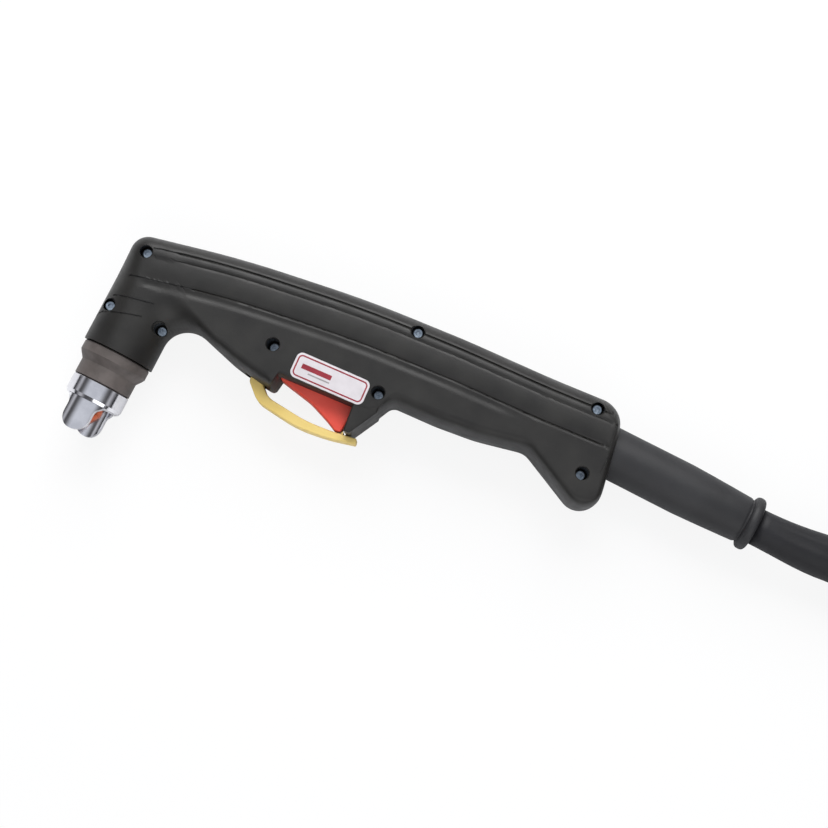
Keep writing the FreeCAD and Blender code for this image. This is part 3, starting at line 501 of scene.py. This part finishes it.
def smooth_line(name, points):
    """Points read from a NURBS spline of order 3 with the given control points."""
    curve = bpy.data.curves.new(name, "CURVE")
    curve.dimensions = "3D"
    spline = curve.splines.new("NURBS")
    spline.points.add(len(points) - 1)
    spline.points.foreach_set("co", np.c_[points, np.ones(len(points))].ravel())
    spline.order_u = 3
    spline.use_endpoint_u = True
    spline.resolution_u = 10
    holder = placed(name, curve)
    bpy.context.view_layer.update()
    graph = bpy.context.evaluated_depsgraph_get()
    mesh = bpy.data.meshes.new_from_object(holder.evaluated_get(graph))
    line = np.empty(len(mesh.vertices) * 3)
    mesh.vertices.foreach_get("co", line)
    bpy.data.objects.remove(holder)
    bpy.data.curves.remove(curve)
    bpy.data.meshes.remove(mesh)
    return line.reshape(-1, 3)


cable_line = smooth_line("cable_route", route_m)
cable_length = float(np.linalg.norm(np.diff(cable_line, axis=0), axis=1).sum())
print("cable length", round(cable_length, 3), "m")

# %% [markdown]
# ## The cable's cover
# The real cover is a soft sleeve round several hoses, so it is never quite round. The tube
# takes shallow folds that wander round it, and one deeper crease where it leaves the boot.


# %% cable tube
def frames_along(line):
    """Unit tangent and two unit sides at each point. The first side stays level."""
    tangent = np.gradient(line, axis=0)
    tangent /= np.linalg.norm(tangent, axis=1, keepdims=True)
    level = np.cross(UP, tangent)
    level /= np.linalg.norm(level, axis=1, keepdims=True)
    return tangent, level, np.cross(tangent, level)


CABLE_STEP = 0.005
EXIT_R, SWELL = 0.009, 0.00195
FOLD_DEPTH, CREASE_DEPTH = 0.0005, 0.0014
cable_path = resample(cable_line, int(cable_length / CABLE_STEP))
along = np.linspace(0.0, cable_length, len(cable_path))
_, level, rise = frames_along(cable_path)
around = np.linspace(0.0, 2.0 * math.pi, 32, endpoint=False)
# The radius grows from 9 mm at the boot to about 11 mm over the first 40 mm.
tube_r = EXIT_R + SWELL * ease(along, 0.002, 0.04)
wave = (np.sin(along[:, None] * 71.0 + 1.3 * np.sin(around)[None] + 0.4)
        * np.cos(around[None] - along[:, None] * 9.0))
fade = ease(along, 0.004, 0.03) * ease(cable_length - along, 0.0, 0.03)
tube_r = tube_r[:, None] - FOLD_DEPTH * fade[:, None] * (1.0 + wave) / 2.0
crease = np.exp(-((around[None] - 1.35 - 5.5 * (along[:, None] - 0.02)) / 0.16) ** 2)
crease = crease * ease(along, 0.004, 0.02)[:, None] * (1.0 - ease(along, 0.05, 0.09))[:, None]
tube_r = tube_r - CREASE_DEPTH * crease
tube = (cable_path[:, None] + tube_r[..., None]
        * (np.cos(around)[None, :, None] * level[:, None]
           + np.sin(around)[None, :, None] * rise[:, None]))
tube_mm = tube / MM + HANDLE_ORIGIN
cable = piece_from_mesh("torch_cable_cover", mesh_from_grid(
    "torch_cable_cover", tube_mm, wrap_columns=True, caps=True))
paint(cable, cable_cover)
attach(cable, "root")
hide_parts("torch_cable", "cable_coil", "cable_tail")
print("cable faces", len(cable.data.polygons))

# %% [markdown]
# ## The moulded handle
# The real handle is two glass-filled nylon halves held by eight screws. Each half is made here
# as lines ruled from its back edge to its under edge. A rounding rule raises the surface near
# both edges, and the long grooves are lines at a steady distance from the back edge. This
# keeps the grooves parallel to the edge, as the mould has them.


# %% outline curves of the handle
def head_point(across, down):
    """Point of the head: across and down its leaning axis from the middle of its lip."""
    return HEAD_CENTRE + HEAD_ACROSS * across + HEAD_DOWN * down


LIP_LEFT = head_point(-HEAD_R, 0.0)[:2]
LIP_RIGHT = head_point(HEAD_R, 0.0)[:2]
FRONT_TOP = head_point(-HEAD_R, -56.2)[:2]
back_edge = rounded_corners([
    (*LIP_LEFT, 0.0), (*FRONT_TOP, 9.0), (36.0, 74.9, 500.0), (100.0, 76.6, 600.0),
    (150.0, 74.4, 500.0), (195.0, 71.0, 500.0), (232.6, 69.3, 13.0), (233.6, 52.9, 0.0)])
under_edge = rounded_corners([
    (*LIP_RIGHT, 0.0), (15.6, 39.3, 12.6), (50.0, 24.85, 60.0), (64.8, 20.7, 1.5),
    (70.6, 19.6, 1.5), (72.3, 26.8, 0.5), (121.8, 24.2, 2.0), (127.2, 32.6, 5.0),
    (150.0, 31.0, 100.0), (170.0, 30.9, 80.0), (194.6, 33.4, 10.0), (236.4, 6.9, 10.0),
    (235.8, 16.8, 0.0)])
# Matching places on the two edges, and how many columns lie before each.
MATCHES = [
    (LIP_LEFT, LIP_RIGHT, 0), ((-17.6, 59.6), (14.6, 30.0), 96), ((-8.0, 70.0), (27.5, 34.3), 44),
    ((46.0, 75.4), (50.0, 25.4), 46), ((64.0, 76.0), (64.4, 20.9), 18),
    ((70.6, 76.1), (70.3, 19.7), 7), ((72.9, 76.1), (73.0, 26.7), 7),
    ((117.0, 76.2), (119.6, 24.4), 42), ((124.0, 75.8), (126.8, 31.4), 12),
    ((150.0, 74.4), (150.0, 31.2), 24),
    ((193.0, 71.2), (192.0, 32.9), 36), ((222.0, 69.8), (224.0, 15.0), 34),
    ((233.6, 52.9), (235.8, 16.8), 56)]


def fraction_of(line, place):
    """Share of a line's length at its point nearest to a place."""
    lengths = np.r_[0.0, np.cumsum(np.linalg.norm(np.diff(line, axis=0), axis=1))]
    nearest = np.argmin(np.linalg.norm(line - np.asarray(place, float), axis=1))
    return lengths[nearest] / lengths[-1]


back_fine = resample(back_edge, 3000)
under_fine = resample(under_edge, 3000)
back_share, under_share = [0.0], [0.0]
for before, here in zip(MATCHES[:-1], MATCHES[1:]):
    steps = np.linspace(0.0, 1.0, here[2] + 1)[1:]
    if here is MATCHES[-1]:
        steps = np.sin(steps * math.pi / 2.0)
    for shares, line, side in ((back_share, back_fine, 0), (under_share, under_fine, 1)):
        low, high = fraction_of(line, before[side]), fraction_of(line, here[side])
        shares.extend((low + (high - low) * steps).tolist())
back_line = resample(back_fine, at=back_share)
under_line = resample(under_fine, at=under_share)
print("handle columns", len(back_line))

# %% [markdown]
# ## The surface of one half
# A mould for this handle is cut with rounded edges and drawn grooves. Here the height of each
# point above the parting plane is a product of roundings, less a bell-shaped dip for each
# groove. The wall is the same surface again, one wall thickness further in.

# %% surface of one half
WALL = 2.6
# Each long groove: how far it lies below the back edge, its half width and its depth.
UPPER_GROOVE = (6.9, 0.42, 0.85)
FAINT_GROOVE = (10.8, 0.5, 0.25)
LOWER_GROOVE = (22.2, 0.45, 0.75)
VALLEY_DEPTH, PANEL_DEPTH = 0.5, 0.35
VALLEY_WIDTH = 4.7
# How far each edge's rounding reaches in, and the power of its superellipse.
BACK_REACH, UNDER_REACH, REAR_REACH = 11.0, 5.0, 3.6
EDGE_POWER, REAR_POWER = 2.5, 3.0
# The back edge is read between these places, and carried on straight outside them.
EDGE_FROM, EDGE_TO = 0.5, 218.5
# Near the rear the wall's inner face turns into a smaller copy about this middle.
REAR_MIDDLE, REAR_SHARE = np.array([214.0, 44.0, 0.0]), 0.88
REAR_COLUMNS = (70, 40)
ROWS_TOP = np.array([
    0, .03, .12, .3, .6, 1, 1.6, 2.4, 3.3, 4.3, 5.3, 6.0, 6.35, 6.6, 6.78, 6.9, 7.02, 7.2, 7.45,
    7.8, 8.5, 9.4, 10.1, 10.5, 10.8, 11.1, 11.5, 12.2, 13.2, 14.5, 16, 17.5, 19, 20.3, 21.2,
    21.7, 22.0, 22.2, 22.4, 22.7, 23.2, 24, 25, 26, 26.9, 28])
ROWS_LOW = np.array([9, 7.5, 6, 4.6, 3.4, 2.4, 1.6, 1, .6, .3, .12, .03, 0])
REAR_TOP, REAR_HEEL = np.array([232.6, 69.3]), np.array([236.4, 6.9])
LABEL_PLACE = np.array([96.0, 33.1])
LABEL_TURN = math.radians(-3.7)
LABEL_SIZE = (37.5, 12.6)


def edge_height(x):
    """Height of the back edge at x, carried on straight past the head."""
    past = back_fine[(back_fine[:, 0] > 0.0) & (back_fine[:, 0] < 219.0) & (back_fine[:, 1] > 60.0)]
    height = np.interp(x, past[:, 0], past[:, 1])
    height = np.where(x < EDGE_FROM, 69.2 + 0.1086 * (x + 16.5), height)
    return np.where(x > EDGE_TO, past[-1, 1] - 0.045 * (x - past[-1, 0]), height)


def rounding(distance, reach, power):
    """Superellipse: 0 at the edge, 1 at its reach and further in."""
    share = 1.0 - np.clip(distance / reach, 0.0, 1.0)
    return (1.0 - share ** power) ** (1.0 / power)


def dip(value, centre, width):
    """Bell-shaped dip of depth 1 at its centre."""
    return np.exp(-((value - centre) / width) ** 2)


def handle_surface():
    """Outer surface of the half on the positive side. Height above the parting plane is
    half the thickness times a rounding from the back edge, one from the under edge and one
    from the rear face, less the grooves. Rows follow the back edge, columns go across."""
    run = under_line - back_line
    width = np.linalg.norm(run, axis=1)[:, None]
    fit = np.minimum(1.0, (width - 12.0) / 28.0)
    drop = (edge_height(under_line[:, :1]) - under_line[:, 1:])
    slanted = np.minimum(width / drop, (width - 11.0) / 28.0)
    past = ease(back_line[:, :1], -6.0, -1.0) * (1.0 - ease(back_line[:, :1], 221.0, 226.0))
    fit = fit + (slanted - fit) * past
    middle = np.linspace(0.0, 1.0, 8)[1:-1]
    last_top, first_low = 28.0 * fit, width - 9.0
    depth = np.hstack([ROWS_TOP * fit, last_top + (first_low - last_top) * middle,
                       width - ROWS_LOW])
    plane = back_line[:, None] + run[:, None] * (depth / width)[..., None]
    x, y = plane[..., 0], plane[..., 1]
    head_down = (plane - HEAD_CENTRE[:2]) @ HEAD_DOWN[:2]
    head = (1.0 - ease(-head_down, 30.0, 62.0)) * (1.0 - ease(x, 8.0, 40.0))
    slot = ease(x, 66.0, 74.0) * (1.0 - ease(x, 116.0, 126.0))
    reach_back = BACK_REACH + (HEAD_R - BACK_REACH) * head
    reach_under = UNDER_REACH + (HEAD_R - UNDER_REACH) * head - 3.8 * slot
    power = EDGE_POWER - 0.5 * head
    rear_run = (REAR_HEEL - REAR_TOP) / np.linalg.norm(REAR_HEEL - REAR_TOP)
    behind = (x - REAR_TOP[0]) * -rear_run[1] + (y - REAR_TOP[1]) * rear_run[0]
    behind = np.clip(-behind, 0.0, None)
    behind[-1] = 0.0
    z = (HALF * rounding(depth, reach_back, power)
         * rounding(width - depth, reach_under, power) * rounding(behind, REAR_REACH, REAR_POWER))
    below = edge_height(x) - y
    handle = ease(x, -8.0, 0.0) * (1.0 - ease(x, 227.5, 229.5))
    label = ease(x, 72.0, 76.0) * (1.0 - ease(x, 116.0, 122.0)) * ease(-y, -41.5, -40.5)
    before_rear = 1.0 - ease(x, 227.5, 229.5)
    upper, faint, lower = UPPER_GROOVE, FAINT_GROOVE, LOWER_GROOVE
    z -= upper[2] * dip(below, *upper[:2]) * ease(x, 6.0, 9.0) * before_rear
    z -= faint[2] * dip(below, *faint[:2]) * ease(x, 8.0, 16.0) * before_rear
    z -= (lower[2] * dip(below, *lower[:2]) * ease(x, 18.0, 21.0)
          * (1.0 - ease(x, 229.5, 230.5)) * (1.0 - label))
    valley = np.sin(np.clip((below - lower[0]) / VALLEY_WIDTH, 0.0, 1.0) * math.pi)
    z -= VALLEY_DEPTH * valley * handle * (1.0 - label) * (1.0 - ease(x, 170.0, 190.0))
    panel = np.sin(np.clip((below - faint[0]) / (lower[0] - faint[0]), 0.0, 1.0) * math.pi)
    z -= PANEL_DEPTH * (1.0 - panel) * handle * (below > faint[0]) * (below < lower[0])
    z = np.clip(z, 0.0, HALF)
    z[:, [0, -1]] = 0.0
    z[-1] = 0.0
    return np.dstack([plane, z])


def wall_of(surface):
    """Closed wall: the outer surface, then the same surface moved inwards by the wall, along
    the surface's own normals, and kept on its side of the parting plane."""
    normal = np.cross(np.gradient(surface, axis=0), np.gradient(surface, axis=1))
    normal /= np.maximum(np.linalg.norm(normal, axis=2, keepdims=True), 1e-9)
    if normal[..., 2].mean() < 0.0:
        normal = -normal
    inner = surface - WALL * normal
    shrunk = REAR_MIDDLE + (surface - REAR_MIDDLE) * REAR_SHARE
    start, end = (len(surface) - columns for columns in REAR_COLUMNS)
    rear = ease(np.arange(len(surface)), start, end)[:, None, None]
    inner = inner + (shrunk - inner) * rear
    inner[..., 2] = np.clip(inner[..., 2], 0.0, None)
    inner[:, [0, -1], 2] = 0.0
    inner[-1, :, 2] = 0.0
    return np.concatenate([surface, inner[:, ::-1]], axis=1)


outer = handle_surface()
print("half grid", outer.shape, "top", outer[..., 2].max())

# %% [markdown]
# ## Wells, posts and openings
# Screws pull the halves together through posts inside. Each screw sits in a well, and the
# trigger, the lever and the boot each pass through an opening. These are cut as a machinist
# would cut them, with solids of the right size, so their rims are crisp.


# %% cutters, bosses and the two halves
def height_at(place):
    """Outer surface height at a place of the handle."""
    flat = outer.reshape(-1, 3)
    return flat[np.argmin(np.linalg.norm(flat[:, :2] - np.asarray(place), axis=1)), 2]


def joined_mesh(name, meshes):
    """Several meshes in one."""
    work = bmesh.new()
    for mesh in meshes:
        work.from_mesh(mesh)
    result = bpy.data.meshes.new(name)
    work.to_mesh(result)
    work.free()
    return result


def cut_away(mesh, cutter, operation="DIFFERENCE", folded=False):
    """The mesh less the cutter, made once, so that no modifier stays behind. A folded mesh
    is one whose thin wall crosses itself somewhere, which needs the slower, careful way."""
    piece = placed("cut_piece", outward(mesh))
    tool = placed("cut_tool", outward(cutter))
    change = piece.modifiers.new("cut", "BOOLEAN")
    change.operation, change.solver, change.object = operation, "EXACT", tool
    change.use_self = folded
    bpy.context.view_layer.update()
    graph = bpy.context.evaluated_depsgraph_get()
    result = bpy.data.meshes.new_from_object(piece.evaluated_get(graph))
    bpy.data.objects.remove(piece)
    bpy.data.objects.remove(tool)
    return result


def lathe(name, profile, base, axis, steps=72):
    """Turned solid whose profile starts and ends on its axis or is a closed loop."""
    grid = turned_grid(profile, base, axis, steps)
    ring = profile[0][0] > 0.01
    return mesh_from_grid(name, grid, wrap_rows=ring, wrap_columns=True)


def block(name, low, high):
    """Box between two corners."""
    low, high = np.array(low, float), np.array(high, float)
    ring = [(low[0], low[1]), (high[0], low[1]), (high[0], high[1]), (low[0], high[1])]
    grid = np.array([[(x, y, z) for x, y in ring] for z in (low[2], high[2])])
    return mesh_from_grid(name, grid, wrap_columns=True, caps=True)


def offset_corners(corners, inset):
    """Corners of an outline whose sides have all moved inwards. Outer corners lose radius
    and inner corners gain it."""
    points = np.array([c[:2] for c in corners], float)
    before, after = np.roll(points, 1, 0), np.roll(points, -1, 0)
    area = (points[:, 0] * after[:, 1] - points[:, 1] * after[:, 0]).sum()
    moved = []
    for a, b, c, (_, _, radius) in zip(before, points, after, corners):
        one, two = (b - a) / np.linalg.norm(b - a), (c - b) / np.linalg.norm(c - b)
        sign = 1.0 if area > 0 else -1.0
        n1, n2 = sign * np.array([-one[1], one[0]]), sign * np.array([-two[1], two[0]])
        turn = sign * (one[0] * two[1] - one[1] * two[0])
        place = b + inset * (n1 + n2) / (1.0 + n1 @ n2)
        moved.append((*place, max(radius - inset if turn > 0 else radius + inset, 0.01)))
    return moved


RIM_POINTS = 160


def soft_prism(name, corners, low, high, edge):
    """Outline pulled along z with both rims rounded by a quarter circle. Rows with unlike
    numbers of points are spread again, so that each has RIM_POINTS."""
    sweep = np.linspace(0.0, math.pi / 2.0, 6)
    insets = [edge * (1.0 - math.cos(a)) for a in sweep]
    lifts = [edge * (1.0 - math.sin(a)) for a in sweep]
    levels = [(inset, low + lift) for inset, lift in zip(insets[::-1], lifts[::-1])]
    levels += [(inset, high - lift) for inset, lift in zip(insets, lifts)]
    base = [(x, y, max(r, 0.011 + edge) if r > 0 else 0.02) for x, y, r in corners]
    rows = []
    for inset, level in levels:
        ring = rounded_corners(offset_corners(base, inset), closed=True)
        rows.append(np.c_[ring, np.full(len(ring), level)])
    if len({len(row) for row in rows}) > 1:
        rows = [resample(np.vstack([row, row[:1]]), RIM_POINTS + 1)[:-1] for row in rows]
    return mesh_from_grid(name, np.array(rows), wrap_columns=True, caps=True)


def label_spot(u, v):
    """Place on the label from its middle, along and across it."""
    return (LABEL_PLACE[0] + u * math.cos(LABEL_TURN) - v * math.sin(LABEL_TURN),
            LABEL_PLACE[1] + u * math.sin(LABEL_TURN) + v * math.cos(LABEL_TURN))


def label_outline(half_u, half_v, radius):
    """Four corners of a box that lies straight on the label."""
    return [(*label_spot(u * half_u, v * half_v), radius)
            for u, v in ((-1, -1), (1, -1), (1, 1), (-1, 1))]


def post(radius, top, x, y):
    """Round post that stands on the parting plane."""
    return lathe("post", [(0.0, 0.0), (radius, 0.0), (radius, top), (0.0, top)],
                 (x, y, 0.0), UP, 40)


# Each screw: its place, and the height of the seat under its head.
SCREWS = [(-7.6, 60.6, 9.5), (-16.1, 31.3, 5.5), (11.2, 28.4, 2.5), (64.9, 39.2, 4.0),
          (119.6, 34.6, 4.0), (127.3, 68.6, 9.5), (219.6, 63.2, 9.5), (222.6, 31.5, 4.0)]
WELL_R, SHANK_R = 3.1, 1.65
NEAR_POST_R, FAR_POST_R, FAR_POST_TOP = 4.3, 3.6, 16.0
POST_SKIN = 1.6
cutters, bosses, far_bosses = [], [], []
for x, y, seat in SCREWS:
    top = height_at((x, y))
    cutters.append(lathe("well", [(0.0, -0.5), (SHANK_R, -0.5), (SHANK_R, seat), (WELL_R, seat),
                                  (WELL_R, top - 0.45), (WELL_R + 0.5, top + 0.05),
                                  (WELL_R + 0.9, top + 6.0), (0.0, top + 6.0)],
                         (x, y, 0.0), UP, 40))
    bosses.append(post(NEAR_POST_R, max(top - POST_SKIN, seat + 0.6), x, y))
    far_bosses.append(post(FAR_POST_R, FAR_POST_TOP if top > 17 else top - POST_SKIN, x, y))
trigger_slot = block("trigger_slot", (72.3, 8.0, -7.4), (111.6, 31.5, 7.4))
lever_slot = block("lever_slot", (55.5, 8.0, -6.4), (67.8, 33.0, 6.4))
boot_hole = lathe("boot_hole", [(0.0, -14.0), (12.65, -14.0), (12.65, 8.0), (0.0, 8.0)],
                  BOOT_START, BOOT_AXIS, 96)
label_corners = label_outline(LABEL_SIZE[0] / 2.0, LABEL_SIZE[1] / 2.0, 3.0)
label_bed = soft_prism("label_bed", label_corners, HALF - 0.42, HALF + 2.0, 0.01)
GUARD = [(113.3, 12.0, 0.8), (122.4, 25.5, 0.0), (122.4, 31.0, 0.0), (110.2, 31.0, 0.0),
         (110.2, 12.0, 0.8)]


def solid_of(surface):
    """Solid between the outer surface, less a skin, and the parting plane."""
    under = surface - [0.0, 0.0, 0.8]
    under[..., 2] = np.clip(under[..., 2], 0.0, None)
    floor_rows = under[:, ::-1] * [1.0, 1.0, 0.0] - [0.0, 0.0, 0.001]
    return mesh_from_grid("solid", np.concatenate([under, floor_rows], axis=1),
                          wrap_columns=True, caps=True)


def handle_half(name, mirrored, extra_cutters, posts, lines=()):
    """One half: the ruled wall, its screw posts and the trigger guard, less its openings. The
    far half is made on the near side and mirrored in the parting plane."""
    wall = mesh_from_grid(name, wall_of(outer), wrap_columns=True, caps=True)
    wall = cut_away(wall, joined_mesh("cutters", [*extra_cutters, *lines]), folded=True)
    guard = soft_prism("guard", GUARD, -1.4, 17.9, 1.0)
    below = block("below", (-60.0, -20.0, -30.0), (300.0, 120.0, 0.0))
    parts = [wall, cut_away(cut_away(guard, below), joined_mesh("slots", extra_cutters))]
    kept = cut_away(joined_mesh("posts", posts), solid_of(outer), "INTERSECT")
    parts.append(cut_away(kept, joined_mesh("slots", extra_cutters)))
    mesh = joined_mesh(name, parts)
    if mirrored:
        place = np.empty(len(mesh.vertices) * 3)
        mesh.vertices.foreach_get("co", place)
        place = place.reshape(-1, 3)
        plane_z = float(to_scene([0.0, 0.0, 0.0])[2])
        place[:, 2] = 2.0 * plane_z - place[:, 2]
        mesh.vertices.foreach_set("co", place.ravel())
        mesh.flip_normals()
    piece = placed(name, mesh)
    mesh.shade_smooth()
    mesh.set_sharp_from_angle(angle=math.radians(38.0))
    paint(piece, moulded_black)
    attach(piece, "root")
    print(name, len(mesh.polygons))
    return piece


def scribe(name, line, width, deep):
    """Cutter that follows a line on the near face: a groove of one width, whose floor stays
    at one depth under the surface."""
    line = resample(rounded_corners([(x, y, 3.0) for x, y in line]), 48)
    along_line = np.gradient(line, axis=0)
    along_line /= np.linalg.norm(along_line, axis=1, keepdims=True)
    side = np.stack([-along_line[:, 1], along_line[:, 0]], -1) * width / 2.0
    floor_z = np.array([height_at(point) for point in line]) - deep
    low, high = floor_z[:, None], np.full((len(line), 1), HALF + 3.0)
    grid = np.stack([np.c_[line - side, low], np.c_[line + side, low],
                     np.c_[line + side, high], np.c_[line - side, high]], axis=1)
    return mesh_from_grid(name, grid, wrap_columns=True, caps=True)


GROOVE_WIDTH, GROOVE_DEPTH = 0.8, 0.55
UPPER_MEETS, LOWER_MEETS = 9.0, 21.0
# Lines of the head, which lead into the long grooves, and two short ones near the rear.
GROOVES = [
    [(-4.6, 63.2), (-1.0, 64.0),
     (UPPER_MEETS, float(edge_height(np.array(UPPER_MEETS))) - UPPER_GROOVE[0])],
    [(-11.0, 47.3), (4.0, 48.9),
     (LOWER_MEETS, float(edge_height(np.array(LOWER_MEETS))) - LOWER_GROOVE[0])],
    [(-15.6, 36.2), (5.2, 37.9)],
    [(-21.6, 24.6), (-18.6, 26.9), (2.0, 30.4)],
    [(230.2, 46.9), (230.4, 59.0)],
    [(231.3, 42.4), (230.5, 34.6)]]
scribes = [scribe("groove", line, GROOVE_WIDTH, GROOVE_DEPTH) for line in GROOVES]
opening_cutters = [trigger_slot, lever_slot, boot_hole]
near_half = handle_half("near_half_shell", False, [*cutters, *opening_cutters, label_bed],
                        bosses, scribes)
far_half = handle_half("far_half_shell", True, [mesh.copy() for mesh in opening_cutters],
                       far_bosses)
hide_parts("handle_near_half")
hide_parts("handle_far_half")

# %% [markdown]
# ## Trigger and safety lever
# Both are injection moulded. They are outlines with rounded rims, which is how the tool
# leaves them. The lever bows over the trigger and has a small catch under its tip.


# %% trigger and lever
def moulded(name, meshes, body, node, material):
    """One moulded piece that stands for a frame node."""
    mesh = joined_mesh(name, [outward(mesh) for mesh in meshes])
    piece = placed(name, mesh)
    mesh.shade_smooth()
    mesh.set_sharp_from_angle(angle=math.radians(42.0))
    paint(piece, material)
    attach(piece, body)
    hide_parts(node)
    print(name, len(mesh.polygons))
    return piece


PIN_HOLE = 1.66
# Outlines as corners, each with the radius that rounds it.
TRIGGER = [(72.9, 34.2, 3), (94, 32.5, 3), (97.5, 34, 1.6), (102.5, 34, 1.6), (104.5, 30, 3),
           (110.3, 28, 1), (110.1, 18, 20), (108.3, 12, 1.6), (105.4, 12, 1.2),
           (100.4, 15.2, 12), (90, 20.7, 30), (76.5, 25, 8), (72.9, 26.2, 1)]
LEVER = [(58.8, 29.7, 3.1), (65.4, 29.7, 3.1), (65.4, 21.4, 3), (70, 16, 10), (91, 11.5, 60),
         (104, 11.1, 80), (117, 11.75, 0.8), (117.2, 8.95, 0.8), (104, 7.25, 80),
         (88, 6.95, 60), (66, 12.2, 10), (59, 20.3, 3)]
CATCH = [(108.7, 11.0, 0), (109.0, 12.7, 0.2), (109.8, 12.7, 0.2), (110.1, 11.0, 0)]


def pin_bore(x, y):
    """Cutter for a pin hole through the piece."""
    return lathe("bore", [(0.0, -20.0), (PIN_HOLE, -20.0), (PIN_HOLE, 20.0), (0.0, 20.0)],
                 (x, y, 0.0), UP, 32)


trigger_mesh = cut_away(soft_prism("trigger", TRIGGER, -7.0, 7.0, 1.0), pin_bore(76.0, 31.0))
moulded("trigger_moulding", [trigger_mesh], "trigger", "trigger", trigger_red)
lever_mesh = cut_away(soft_prism("lever", LEVER, -6.0, 6.0, 0.7), pin_bore(62.0, 26.5))
moulded("safety_lever_moulding", [lever_mesh, soft_prism("catch", CATCH, -5.0, 5.0, 0.15)],
        "safety_lever", "safety_lever", lever_yellow)

# %% [markdown]
# ## Rubber boot
# A turned rubber sleeve guards the cable where it bends. It ends in a rolled bead, and its
# inner end is locked behind the wall of the handle.

# %% boot
BOOT = [(8.8, -9), (14, -9), (14, -6), (12.6, -6), (12.6, -1.0), (12.6, 8.0), (12.65, 20),
        (12.7, 36), (12.3, 47), (11.8, 57.7), (11.3, 67.4), (11.1, 68.1), (10.8, 68.5),
        (10.75, 68.9), (10.8, 69.3), (11.3, 69.4), (12, 69.7), (12.7, 70.1), (13.1, 70.6),
        (13.35, 71.3), (13.4, 72.15), (13.35, 73.0), (13.1, 73.7), (12.7, 74.2), (12.0, 74.6),
        (9.9, 74.6), (9.15, 74.2), (9.05, 73.4), (9.05, 60.0), (9.05, 20.0)]
boot = piece_from_mesh("cable_boot_rubber",
                       lathe("cable_boot_rubber", BOOT, BOOT_START, BOOT_AXIS, 128))
boot.data.set_sharp_from_angle(angle=math.radians(50.0))
paint(boot, boot_rubber)
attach(boot, "root")
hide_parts("cable_boot")
print("boot faces", len(boot.data.polygons))

# %% [markdown]
# ## Label
# A thin white plate lies in a shallow bed. Its print is a dark red border with a red block
# and a grey bar: it is decoration and says nothing.

# %% label
label_plate = soft_prism("label_plate_body", label_corners, HALF - 0.4, HALF, 0.08)
label = piece_from_mesh("label_face", label_plate)
label.data.set_sharp_from_angle(angle=math.radians(30.0))
paint(label, label_white)
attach(label, "root")
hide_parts("label_plate")
INK_LEVELS = (HALF - 0.02, HALF + 0.03)


def print_ring(name, half_u, half_v, radius, width, material):
    """Closed band of print that follows the plate's edge."""
    corners = label_outline(half_u, half_v, radius)
    outside = rounded_corners(corners, closed=True)
    inside = rounded_corners(offset_corners(corners, width), closed=True)
    outside = resample(np.vstack([outside, outside[:1]]), RIM_POINTS + 1)[:-1]
    nearest = resample(np.vstack([inside, inside[:1]]), 4000)
    pick = [np.argmin(((nearest - point) ** 2).sum(1)) for point in outside]
    inside = nearest[pick]
    low, high = (np.full(RIM_POINTS, level) for level in INK_LEVELS)
    grid = np.array([np.c_[outside, low], np.c_[outside, high],
                     np.c_[inside, high], np.c_[inside, low]])
    ink = piece_from_mesh(name, mesh_from_grid(name, grid, wrap_rows=True, wrap_columns=True),
                          smooth=False)
    paint(ink, material)
    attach(ink, "root")


def print_bar(name, low, high, material):
    """Printed bar between two corners in the label's own directions."""
    ring = [label_spot(*place) for place in ((low[0], low[1]), (high[0], low[1]),
                                             (high[0], high[1]), (low[0], high[1]))]
    grid = np.array([[(*place, level) for place in ring] for level in INK_LEVELS])
    ink = piece_from_mesh(name, mesh_from_grid(name, grid, wrap_columns=True, caps=True),
                          smooth=False)
    paint(ink, material)
    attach(ink, "root")


print_ring("label_border", LABEL_SIZE[0] / 2.0 - 1.0, LABEL_SIZE[1] / 2.0 - 1.0, 2.2, 0.7,
           label_red)
print_bar("label_block", (-14.6, -0.9), (0.5, 1.5), label_red)
print_bar("label_bar", (-10.5, -2.6), (0.5, -1.9), label_grey)
